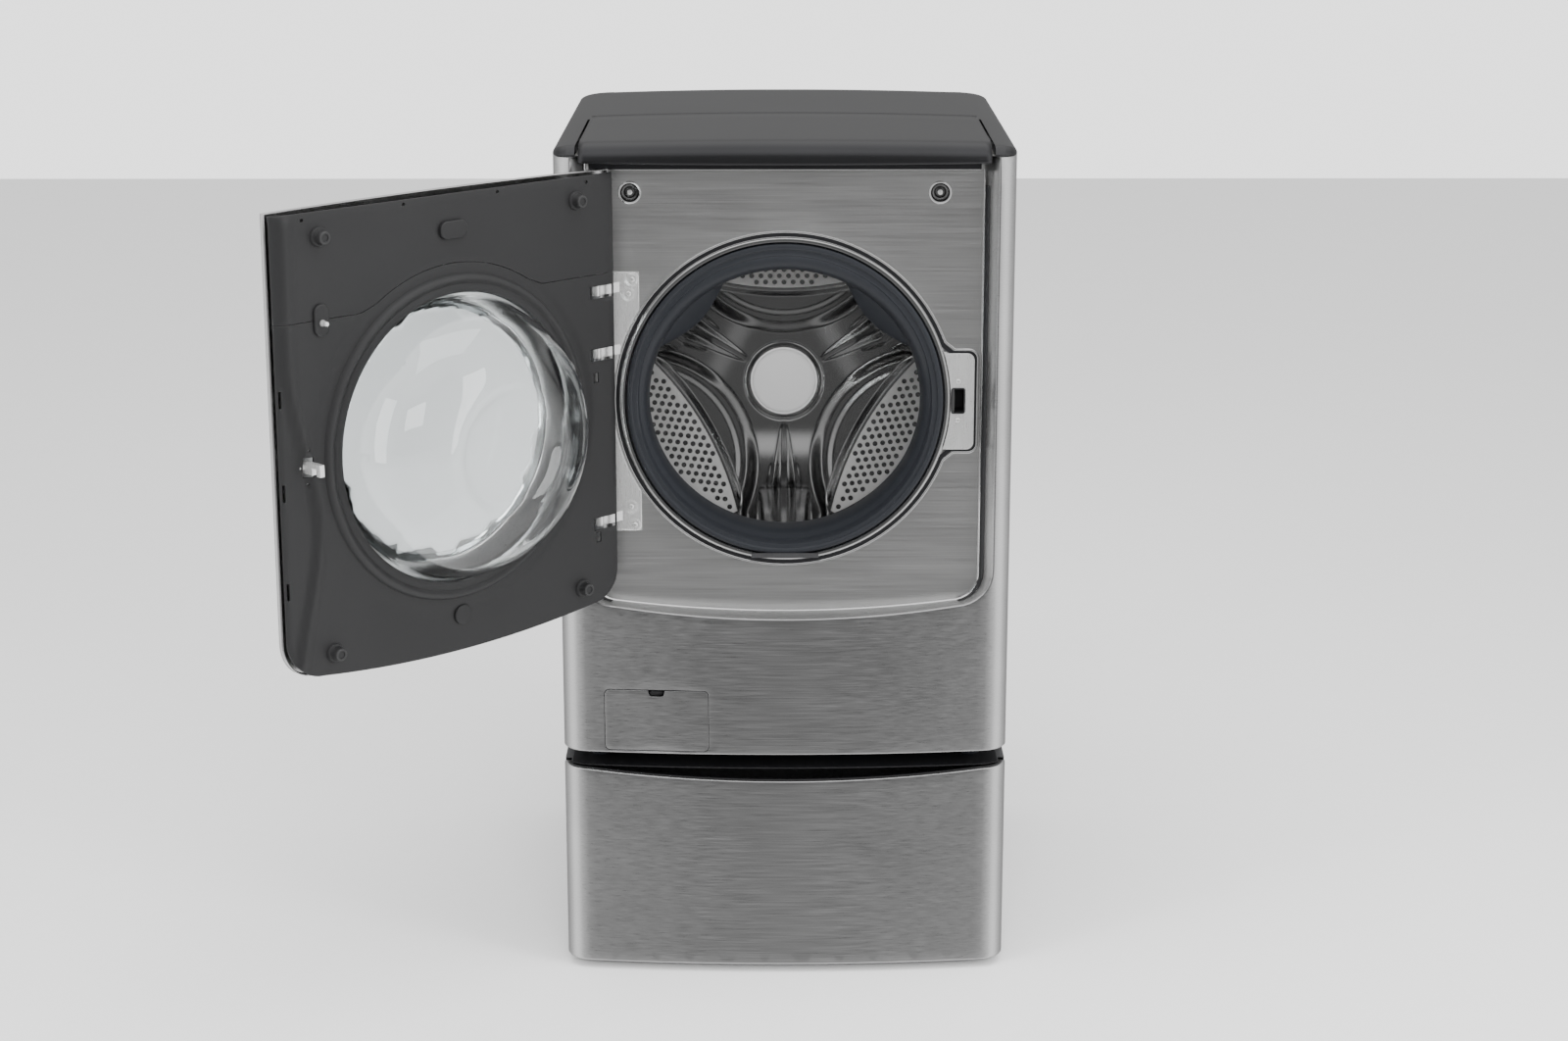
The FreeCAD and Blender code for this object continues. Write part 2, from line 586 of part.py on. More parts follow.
def inner_panel():
    half = "(%s - 12)" % HALF
    sheet_y = ("-panel_reach", "-panel_reach + sheet")
    wall = box(("-" + half, half), sheet_y, (BASE + " + recess_floor - 50", TOP + " - nose_drop - 2"))
    mouth = rod("ring_radius - 5", "9", "0", "-panel_reach - 3", MOUTH_Z, Y_AXIS)
    latch = box(("latch_x - latch_half_width", "latch_x + latch_half_width"), ("-panel_reach - 3", "-panel_reach + 6"),
                (MOUTH_Z + " - latch_half_height", MOUTH_Z + " + latch_half_height"))
    cups = [rod("cup_radius", "9", side + "bumper_x", "-panel_reach - 3", TOP + " - bumper_top_drop", Y_AXIS)
            for side in ("-", "")]
    placement = [FreeCAD.Placement(FreeCAD.Vector(value(side + "bumper_x"), 0, value(TOP + " - bumper_top_drop")),
                                   FreeCAD.Rotation(X_AXIS, -90)) for side in ("-", "")]
    cup = [("0", "-panel_reach + 5"), ("cup_radius - 1.5", "-panel_reach + 5"), ("cup_radius - 1.5", "-panel_reach - 1"),
           ("cup_radius + 2", "-panel_reach - 1"), ("cup_radius + 2", "-panel_reach"),
           ("cup_radius", "-panel_reach"), ("cup_radius", "-panel_reach + 6.5"), ("0", "-panel_reach + 6.5")]
    keep(fuse(cut(wall, mouth, latch, *cups), *[turned(cup, where) for where in placement]), "inner_front_panel")


def panel_screws():
    """Pan heads in the cups, the latch plate and the hinge plate, and two in the gap over the drawer."""
    heads = []
    places = [(side + "bumper_x", "-panel_reach + 2", TOP + " - bumper_top_drop") for side in ("-", "")]
    places += [("latch_x", "-panel_reach - 7.5", MOUTH_Z + rise) for rise in (" + 32", " - 32")]
    places += [("-%s + 73" % RECESS_HALF, "-panel_reach - 6", MOUTH_Z + rise) for rise in (" + 199", " - 207")]
    places += [("-%s + 67" % RECESS_HALF, "-panel_reach - 6", MOUTH_Z + rise) for rise in (" + 176", " - 176")]
    for x, y, z in places:
        heads.append(rod("4", "3", x, y, z, Y_AXIS))
    keep(group(*heads), "panel_screws")


def opening_trim():
    inner = "(ring_radius - ring_width)"
    profile = [(inner, "-panel_reach - 2"), (inner + " + 2", "-panel_reach - 5"), (inner + " + 6", "-panel_reach - 5"),
               (inner + " + 8", "-panel_reach - 1.5"), ("ring_radius - 3", "-panel_reach - 1.5"),
               ("ring_radius", "-panel_reach"), ("ring_radius - 5.2", "-panel_reach"),
               ("ring_radius - 5.2", "-panel_reach + sheet"), (inner, "-panel_reach + sheet")]
    keep(turned(profile, mouth_frame()), "opening_ring")


def latch():
    left = "(ring_radius - 18)"
    plate_y = ("-panel_reach - 4.5", "-panel_reach")
    slot = box(("latch_x - latch_half_width", "latch_x + latch_half_width"), ("-panel_reach - 9", "-panel_reach + 36"),
               (MOUTH_Z + " - latch_half_height", MOUTH_Z + " + latch_half_height"))
    ring_room = rod("ring_radius + 1", "30", "0", "-panel_reach - 15", MOUTH_Z, Y_AXIS)
    blank = box((left, "latch_x + 31"), plate_y, (MOUTH_Z + " - 86", MOUTH_Z + " + 83"))
    trimmed = cut(blank, ring_room, slot)
    right = value("latch_x + 31")
    keep(rounded(trimmed, 14, lambda edge, p: abs(p.x - right) < 0.5 and 3 < edge.Length < 6), "latch_plate")
    body = box(("latch_x - 18", "latch_x + 26"), ("-panel_reach + sheet", "-panel_reach + 42"),
               (MOUTH_Z + " - 50", MOUTH_Z + " + 50"))
    keep(cut(body, slot), "door_lock")


def hinges():
    """Hinge plate with its three arms; the pins stand in the arms' knuckles."""
    left = "(4 - %s)" % RECESS_HALF
    blank = box((left, "-%s + 84" % RECESS_HALF), ("-panel_reach - 3", "-panel_reach"),
                (MOUTH_Z + " - 217", MOUTH_Z + " + 211"))
    ring_room = rod("ring_radius + 2.5", "20", "0", "-panel_reach - 10", MOUTH_Z, Y_AXIS)
    arms, pins, leaves = [], [], []
    reach = "((hinge_reach - panel_reach - 2) * sqrt(2))"
    for level in ARM_LEVELS:
        z = MOUTH_Z + level
        arm = doc.addObject("Part::Box", "arm")
        bind(arm, Length=reach, Width="8", Height="knuckle_height")
        slant = FreeCAD.Rotation(Z_AXIS, 45)
        side = FreeCAD.Vector(2 * math.sqrt(2), -2 * math.sqrt(2), 0)
        arm.Placement = FreeCAD.Placement(ORIGIN, slant)
        placed(arm, "%s + %s" % (HINGE_X, side.x), "-hinge_reach + %s" % side.y, z + " - knuckle_height / 2")
        trim = box((left, "0"), ("-panel_reach", "-panel_reach + 40"), (z + " - 20", z + " + 20"))
        knuckle = rod("knuckle_radius", "knuckle_height", HINGE_X, "-hinge_reach", z + " - knuckle_height / 2")
        bore = rod("pin_radius + pin_fit", "60", HINGE_X, "-hinge_reach", z + " - 30")
        arms.append(cut(fuse(arm, knuckle), bore, trim))
        pins.append(rod("pin_radius", "knuckle_height * 2 + 2", HINGE_X, "-hinge_reach", z + " - knuckle_height - 1"))
        leaves.append(door_leaf(z))
    keep(fuse(cut(blank, ring_room), *arms), "hinge_plate")
    keep(group(*pins), "hinge_pins")
    hung(group(*leaves), "door_hinge_leaves")


def door_leaf(z):
    """Leaf of the door at one arm: two knuckles on a base plate that lies on the door's skin."""
    base = box((HINGE_X + " - 8", HINGE_X + " + 30"), ("-hinge_reach - leaf_back", "-hinge_reach - 7.3"),
               (z + " - 30", z + " + 30"))
    knuckles = []
    for low in (z + " - knuckle_height", z + " + knuckle_height / 2 + knuckle_gap"):
        height = "knuckle_height / 2 - knuckle_gap"
        knuckles.append(rod("knuckle_radius", height, HINGE_X, "-hinge_reach", low))
        knuckles.append(box((HINGE_X + " - 6", HINGE_X + " + 6"), ("-hinge_reach - 8", "-hinge_reach"),
                            (low, "%s + %s" % (low, height))))
    bore = rod("pin_radius + pin_fit", "60", HINGE_X, "-hinge_reach", z + " - 30")
    return cut(fuse(base, *knuckles), bore)


# ---- top ----
def top_parts():
    depth = ("-front_reach - 10", "rear_reach + 10")
    crown_half = "(%s - shoulder_width)" % HALF
    shoulder = TOP + " + shoulder_rise"
    sides = plate([("-" + HALF, TOP), (HALF, TOP), (HALF, TOP + " + 3", "left", "shoulder_radius"),
                   (crown_half, shoulder), ("-" + crown_half, shoulder, "left", "shoulder_radius"),
                   ("-" + HALF, TOP + " + 3")], *depth)
    crown = plate(crown_outline(crown_half, TOP, "0"), *depth)
    bay = box(("-%s - bay_gap" % LID_HALF, LID_HALF + " + bay_gap"), ("-front_reach - 10", "-lid_rear - 15"),
              (TOP + " - 5", TOP + " + 60"))
    solid = common(fuse(sides, crown), slab(cabinet_plan("0", "rear_reach"), TOP + " - 5", TOP + " + 60"))
    hollow = box(("-%s + 6" % HALF, HALF + " - 6"), ("-panel_reach + 30", "rear_reach - 6"),
                 (TOP + " - 1", TOP + " + 8"))
    cover = cut(solid, bay, hollow)
    back = value("rear_reach")
    keep(rounded(cover, 8, lambda edge, p: abs(p.y - back) < 0.5 and edge.Length > 300
                 and p.z > value(TOP) + 12), "top_cover")
    lid_top = crown_outline(LID_HALF, TOP + " - nose_drop", "lid_rise")
    block = common(plate(lid_top, "-front_reach - 20", "-lid_rear"),
                   slab(bowed_plan(LID_HALF, "5", "-lid_rear"), TOP + " - 30", TOP + " + 60"))
    under = common(plate(crown_outline("(%s + 1)" % LID_HALF, TOP + " - nose_drop - 1", "lid_rise - lid_skin"),
                         "-front_reach - 20", "-lid_rear + 1"),
                   slab(bowed_plan("(%s + 1)" % LID_HALF, "(5 - lid_nose)", "-lid_rear + 1"),
                        TOP + " - 30", TOP + " + 60"))
    corners = [box(side, ("-front_reach - 20", "-lid_rear"), (TOP + " - nose_drop - 1", TOP + " + 0.7"))
               for side in (("-" + HALF, "-%s + 4" % RECESS_HALF), (RECESS_HALF + " - 4", HALF))]
    lid = cut(block, under, *corners)
    keep(rounded(lid, 9, lambda edge, p: p.y < -value("front_reach") and p.z > value(TOP) + 15
                 and edge.Length > 300), "sliding_lid")


def dispenser():
    half = "(%s + bay_gap + 3)" % LID_HALF
    depth = ("-(panel_reach - 8)", "-60")
    ear_depth = ("-(panel_reach - 30.3)", "-60")
    top = TOP + " - nose_drop - 3"
    body = box(("-" + half, half), depth, (TOP + " - 75", top))
    space = box(("-%s + 3" % half, half + " - 3"), (depth[0] + " + 3", depth[1] + " - 3"), (TOP + " - 72", TOP))
    ears = []
    for side in ("-", ""):
        edge = sorted((side + half, side + "(%s - 3)" % half), key=value)
        wing = sorted((side + "(%s - 6.3)" % HALF, side + "(%s - 3)" % half), key=value)
        ears.append(box(edge, ear_depth, (top, TOP + " + sheet")))
        ears.append(box(wing, ear_depth, (TOP, TOP + " + sheet")))
    spout = tube("sump_radius", "sump_radius - 3", "8", "0", "-150", TOP + " - 83")
    drain = rod("sump_radius - 3", "20", "0", "-150", TOP + " - 85")
    keep(fuse(cut(fuse(cut(body, space), *ears), drain), spout), "dispenser_housing")
    inner = "(%s - 3.5)" % half
    tray = box(("-" + inner, inner), (depth[0] + " + 3.5", depth[1] + " - 3.5"), (TOP + " - 71.7", top + " - 1"))
    cups = []
    for low, high in (("-%s + 3" % inner, "-inlet_x + 150"), ("-inlet_x + 153", "inlet_x - 127"),
                      ("inlet_x - 124", inner + " - 3")):
        cups.append(box((low, high), (depth[0] + " + 7", depth[1] + " - 7"), (TOP + " - 68", TOP)))
    keep(cut(tray, *cups), "dispenser_tray")


def water_parts():
    z = TOP + " - inlet_drop"
    blocks, threads, hoses = [], [], []
    for x in ("(inlet_x - inlet_pitch / 2)", "(inlet_x + inlet_pitch / 2)"):
        threads.append(tube("inlet_radius - 0.6", "7", "5", x, REAR + " - 1", z, Y_AXIS))
        threads.append(tube("inlet_radius", "7", "20", x, REAR + " + 3", z, Y_AXIS))
        hoses.append(tube("9", "6", REAR + " - 38 + 60 - seam * 2", x, "-60 + seam", TOP + " - 40", Y_AXIS))
        blocks.append(box((x + " - 22", x + " + 22"), (REAR + " - 38", REAR), (z + " - 25", TOP + " - 25")))
    keep(fuse(*blocks, *threads), "inlet_valves")
    keep(group(*hoses), "fill_hoses")
    case = box(("-inlet_x - 80", "-inlet_x + 120"), (REAR + " - 110", REAR + " - seam"), (TOP + " - 60", TOP + " - 6"))
    gland = fuse(rod("9", "14", "-inlet_x", REAR + " - 6", z, Y_AXIS), rod("14", "4", "-inlet_x", REAR + " - 6", z, Y_AXIS))
    keep(group(case, cut(gland, rod("4", "30", "-inlet_x", REAR + " - 10", z, Y_AXIS))), "control_unit")


# ---- tub ----
def gasket():
    """Bellows from the front panel's opening to the tub's neck, as straight-walled rings."""
    tilt = value("drum_tilt")
    rings = [("ring_radius - ring_width - seam - gasket_wall", "-panel_reach - 1", 0), ("lip_radius + 27", "-panel_reach + 12", 0),
             ("lip_radius", "-tub_reach - 12", tilt), ("lip_radius + 23", "-tub_reach + 4", tilt),
             ("lip_radius + 27", "-tub_reach + 14", tilt)]

    def stack(extra):
        circles = []
        for radius, y, lean in rings:
            circle = doc.addObject("Part::Circle", "section")
            circle.Placement = FreeCAD.Placement(ORIGIN, FreeCAD.Rotation(X_AXIS, -90 - lean))
            bind(circle, Radius="%s + %s" % (radius, extra))
            placed(circle, "0", y, axis_z(y) if lean else MOUTH_Z)
            circles.append(circle)
        bellows = doc.addObject("Part::Loft", "bellows")
        bellows.Sections = circles
        bellows.Solid = True
        bellows.Ruled = True
        return bellows
    keep(cut(stack("gasket_wall"), stack("0")), "door_gasket")
    wire = doc.addObject("Part::Torus", "wire")
    bind(wire, Radius1="ring_radius - ring_width - seam", Radius2="1.5")
    wire.Placement = FreeCAD.Placement(ORIGIN, FreeCAD.Rotation(X_AXIS, -90))
    placed(wire, "0", "-panel_reach + 4", MOUTH_Z)
    clip = box(("-55", "55"), ("-panel_reach - 9", "-panel_reach - 5.3"), (MOUTH_Z + " - 262", MOUTH_Z + " - 254"))
    keep(group(wire, clip), "gasket_clamp")


def tub():
    frame = tub_frame()
    outer = "(tub_radius + tub_wall)"
    neck = "(lip_radius + 27 + gasket_wall + seam)"
    front = turned([(neck, "6"), (neck + " + 5", "6"), (neck + " + 5", "18"), (outer + " - 14", "34"),
                    (outer, "50"), (outer + " + 10", "56"), (outer + " + 10", "60"), ("tub_radius", "60"),
                    ("tub_radius", "52"), (outer + " - 18", "40"), (neck, "24")], frame)
    keep(front, "tub_front")
    shell = turned([("tub_radius", "60"), (outer + " + 10", "60"), (outer + " + 10", "64"), (outer, "66"),
                    (outer, "tub_depth + 8"), ("bearing_radius + 17", "tub_depth + 8"),
                    ("bearing_radius + 17", "tub_depth + 66"), ("bearing_radius", "tub_depth + 66"),
                    ("bearing_radius", "tub_depth + 12"), ("shaft_radius + 4", "tub_depth + 12"),
                    ("shaft_radius + 4", "tub_depth"), ("tub_radius", "tub_depth")], frame)
    lugs = []
    for side in ("-", ""):
        across = sorted((side + "(tub_radius - 7)", side + "(spring_x + spring_radius + 2)"), key=value)
        z = axis_z("spring_y")
        lugs.append(box(across, ("spring_y - 15", "spring_y + 15"), (z + " + 55", z + " + 63")))
        for y in ("damper_front_y", "damper_rear_y"):
            under = "(%s - sqrt(tub_radius^2 - damper_x^2))" % axis_z(y)
            across = sorted((side + "(damper_x - 13)", side + "(damper_x + 13)"), key=value)
            lugs.append(box(across, (y + " - 13", y + " + 13"), (under + " - 42", under + " + 6")))
    room = turned([("0", "60"), ("tub_radius", "60"), ("tub_radius", "tub_depth"), ("0", "tub_depth")], frame)
    keep(fuse(shell, cut(fuse(*lugs), room)), "tub_rear")
    ring_section = band(outer + " + 0.3", outer + " + 52", "275", "430")
    wedge = box(("-150", "150"), ("-front_reach", "rear_reach"), (MOUTH_Z + " + 200", TOP))
    keep(common(turned(ring_section, frame), wedge), "counterweight_upper")
    low_section = band(neck + " + 8", outer + " - 2", "0", "18.3")
    low_half = box(("-tub_radius - 40", "tub_radius + 40"), ("-front_reach", "0"), (BASE, MOUTH_Z + " - 80"))
    keep(common(turned(low_section, frame), low_half), "counterweight_lower")
    bearings = [ring("shaft_radius + shaft_fit", "bearing_radius", low, low + " + 16", frame)
                for low in ("tub_depth + 14", "tub_depth + 48")]
    keep(group(*bearings), "main_bearings")
    keep(ring("bearing_radius + 17.3", "130", "tub_depth + 8.3", "tub_depth + 28", frame), "stator")


def suspension():
    springs, bodies, rods = [], [], []
    low = "(%s + 63)" % axis_z("spring_y")
    high = "(%s - 46)" % TOP
    for side in ("-", ""):
        helix = doc.addObject("Part::Helix", "coil")
        length = "(%s - %s - 2 * (spring_wire + seam))" % (high, low)
        bind(helix, Pitch=length + " / 16", Radius="spring_radius", Height=length)
        wire = doc.addObject("Part::Circle", "wire")
        bind(wire, Radius="spring_wire")
        wire.Placement = FreeCAD.Placement(ORIGIN, FreeCAD.Rotation(X_AXIS, 90))
        placed(wire, "spring_radius", "0", "0")
        spring = doc.addObject("Part::Sweep", "spring")
        spring.Sections = [wire]
        spring.Spine = (helix, ["Edge1"])
        spring.Solid = True
        spring.Frenet = True
        springs.append(placed(group(spring), side + "spring_x", "spring_y", low + " + spring_wire + seam"))
        for y in ("damper_front_y", "damper_rear_y"):
            under = "(%s - sqrt(tub_radius^2 - damper_x^2) - 42)" % axis_z(y)
            foot = BASE + " + 3"
            body = rod("damper_radius", "130", side + "damper_x", y, foot)
            bodies.append(cut(body, rod("damper_rod + damper_fit", "131", side + "damper_x", y, foot + " + 6")))
            rods.append(rod("damper_rod", "%s - (%s + 60)" % (under, foot), side + "damper_x", y, foot + " + 60"))
    keep(group(*springs), "suspension_springs")
    keep(group(*bodies), "damper_bodies")
    keep(group(*rods), "damper_rods")


# ---- drum ----
def drum():
    frame = tub_frame()
    outer = "(drum_radius + drum_wall)"
    shell = ring("drum_radius", outer, "43.5", "drum_depth + 8", frame)
    mouth = turned([("drum_mouth", "32"), ("drum_mouth + 4", "27"), ("drum_mouth + 14", "27"), (outer + " - 6", "36"),
                    (outer, "44"), ("drum_radius", "44"), (outer + " - 12", "40"), ("drum_mouth + 10", "31"),
                    ("drum_mouth + 3", "36")], frame)
    keep(fuse(shell, mouth), "drum_shell")
    back = turned([("0", "drum_depth"), ("drum_radius - seam", "drum_depth"), ("drum_radius - seam", "drum_depth + 3"),
                   ("0", "drum_depth + 3")], frame)
    keep(back, "drum_back")
    cap = turned([("0", "drum_depth - 18"), ("cap_radius - 14", "drum_depth - 16"), ("cap_radius", "drum_depth - 8"),
                  ("cap_radius", "drum_depth - seam"), ("0", "drum_depth - seam")], frame)
    keep(cap, "drum_cap")
    hub = ring("0", "55", "drum_depth + 3", "drum_depth + 18", frame)
    arms = []
    for turn in range(3):
        arm = doc.addObject("Part::Box", "arm")
        bind(arm, Length="60", Width="drum_radius - 4", Height="12")
        centred = FreeCAD.Placement(FreeCAD.Vector(-30, 0, value("drum_depth + 3")), FreeCAD.Rotation())
        spin = FreeCAD.Placement(ORIGIN, FreeCAD.Rotation(Z_AXIS, 120 * turn))
        arms.append(turned_to(arm, frame.multiply(spin).multiply(centred)))
    shaft = ring("0", "shaft_radius", "drum_depth + 10", "tub_depth + 80", frame)
    keep(fuse(hub, shaft, *arms), "drum_spider")
    lifters = []
    seat = "(drum_radius - seam)"
    foot_y = "sqrt(%s^2 - lifter_foot^2)" % seat
    top = "(drum_radius - lifter_height)"
    for turn in range(3):
        hull = slab([("-lifter_half", top), ("lifter_half", top), ("lifter_half", foot_y + " - 26"),
                     ("lifter_foot", foot_y, "left", seat), ("-lifter_foot", foot_y),
                     ("-lifter_half", foot_y + " - 26")], "72", "drum_depth - 26")
        room = slab([("-lifter_half + lifter_wall", top + " + lifter_wall"),
                     ("lifter_half - lifter_wall", top + " + lifter_wall"),
                     ("lifter_half - lifter_wall", "drum_radius + 9"),
                     ("-lifter_half + lifter_wall", "drum_radius + 9")],
                    "72 + lifter_wall", "drum_depth - 26 - lifter_wall")
        spin = FreeCAD.Placement(ORIGIN, FreeCAD.Rotation(Z_AXIS, 120 * turn))
        lifters.append(turned_to(cut(hull, room), frame.multiply(spin)))
    keep(group(*lifters), "drum_lifters")
    rotor = turned([("138", "tub_depth + 12"), ("146", "tub_depth + 12"), ("146", "tub_depth + 74"),
                    ("shaft_radius + seam", "tub_depth + 74"), ("shaft_radius + seam", "tub_depth + 70"),
                    ("138", "tub_depth + 70")], frame)
    keep(rotor, "rotor")


# ---- drain ----
def drain_parts():
    z = BASE + " + filter_rise"
    bay_x = ("-flap_left - 5", "-flap_right + 5")
    bay_z = (BASE + " + skin + seam", BASE + " + flap_low + flap_height + 5")
    wall = box(bay_x, ("-front_reach", "-panel_reach - 11"), bay_z)
    space = box((bay_x[0] + " + 3", bay_x[1] + " - 3"), ("-front_reach - 1", "-panel_reach - 14"),
                (bay_z[0] + " + 2", bay_z[1] + " - 3"))
    inside = slab(cabinet_plan("(skin + seam)", BEHIND), BASE, TOP)
    neck_hole = rod("filter_radius + 1", "30", "filter_x", "-panel_reach - 25", z, Y_AXIS)
    keep(cut(common(cut(wall, space), inside), neck_hole), "filter_bay")
    barrel = rod("filter_radius + 8", "panel_reach + 10 + sump_y + 5", "filter_x", "-panel_reach - 10.7", z, Y_AXIS)
    bore = rod("filter_radius - 3", "60", "filter_x", "-panel_reach - 11", z, Y_AXIS)
    volute = box(("filter_x - 30", "sump_x + 30"), ("sump_y - 30", "sump_y + 30"), (z + " - 30", z + " + 30"))
    foot = box(("filter_x - 24", "filter_x + 24"), ("sump_y - 30", "sump_y + 30"), (BASE + " + 3", z + " - 29"))
    spout = rod("sump_radius", "15", "sump_x", "sump_y", z + " + 29")
    keep(fuse(cut(barrel, bore), volute, foot, spout), "drain_pump")
    cap = fuse(rod("filter_radius", "6", "filter_x", "-panel_reach - 20", z, Y_AXIS),
               rod("filter_radius - 3 - 0.08", "30", "filter_x", "-panel_reach - 20", z, Y_AXIS),
               box(("filter_x - 4", "filter_x + 4"), ("-panel_reach - 30", "-panel_reach - 18"), (z + " - 22", z + " + 22")))
    keep(cap, "filter_cap")
    door = common(cut(slab(cabinet_plan("0", BEHIND), BASE, TOP),
                      slab(cabinet_plan("skin", BEHIND + " + 1"), BASE + " - 1", TOP + " + 1")),
                  box(("-flap_left + flap_gap", "-flap_right - flap_gap"), ("-front_reach - 9", "-panel_reach - 1"),
                      (BASE + " + flap_low + flap_gap", BASE + " + flap_low + flap_height - flap_gap")))
    notch_x = "(-(flap_left + flap_right) / 2)"
    notch = box((notch_x + " - 14", notch_x + " + 14"), ("-front_reach - 10", "-panel_reach"),
                (BASE + " + flap_low + flap_height - flap_gap - 10", BASE + " + flap_low + flap_height"))
    keep(cut(door, notch), "filter_flap")
    hose_radius = "(sump_radius + 4)"
    reach = "sqrt((tub_radius + tub_wall)^2 - (sump_x + %s)^2) / cos(drum_tilt)" % hose_radius
    tub_low = "(%s - %s - seam)" % (axis_z("sump_y + " + hose_radius), reach)
    keep(tube(hose_radius, "sump_radius + seam", "%s - (%s + 31)" % (tub_low, z), "sump_x", "sump_y", z + " + 31"),
         "sump_hose")
    tub_high = "(%s + (tub_radius + tub_wall) / cos(drum_tilt) + seam)" % axis_z("-150 - " + hose_radius)
    keep(tube("sump_radius + 4", "sump_radius + seam", "%s - 76 - %s" % (TOP, tub_high), "0", "-150", tub_high), "tub_inlet_hose")
    drain_hose(z)


def drain_hose(z):
    """Hose from the pump along the base to the rear and out through the rear panel."""
    x, low, high = value("drain_x"), value(z), value(BASE + " + drain_rise")
    start, back, end = value("sump_y + 31"), value(REAR + " - 30"), value("rear_reach + 14")
    bend, turn = value("hose_bend"), value("outlet_bend")
    share = 1 - math.sqrt(0.5)
    points = [FreeCAD.Vector(x, start, low), FreeCAD.Vector(x, back - bend, low),
              FreeCAD.Vector(x, back - bend * share, low + bend * share), FreeCAD.Vector(x, back, low + bend),
              FreeCAD.Vector(x, back, high - turn),
              FreeCAD.Vector(x, back + turn * share, high - turn * share),
              FreeCAD.Vector(x, back + turn, high), FreeCAD.Vector(x, end, high)]
    edges = [Part.makeLine(points[0], points[1]), Part.Arc(*points[1:4]).toShape(),
             Part.makeLine(points[3], points[4]), Part.Arc(*points[4:7]).toShape(),
             Part.makeLine(points[6], points[7])]
    wire = Part.Wire(edges)
    hose = doc.addObject("Part::Feature", "hose")
    shapes = []
    for radius in (value("drain_radius"), value("drain_radius") - 3):
        section = Part.Wire(Part.Circle(points[0], Y_AXIS, radius).toShape())
        shapes.append(wire.makePipeShell([section], True, False))
    hose.Shape = shapes[0].cut(shapes[1])
    neck = tube("drain_radius + 4", "drain_radius - 0.6", "9", "drain_x", REAR + " - 6", BASE + " + drain_rise",
                Y_AXIS)
    keep(cut(hose, neck), "drain_hose")


# ---- door, modelled shut and then swung open ----
def arm_slots():
    """Room in the door's hinge edge for the three arms."""
    return [box(("-%s - 5" % DOOR_HALF, HINGE_X + " + 27"), ("-hinge_reach - 5", "-door_back + 5"),
                (MOUTH_Z + level + " - 10", MOUTH_Z + level + " + 10")) for level in ARM_LEVELS]


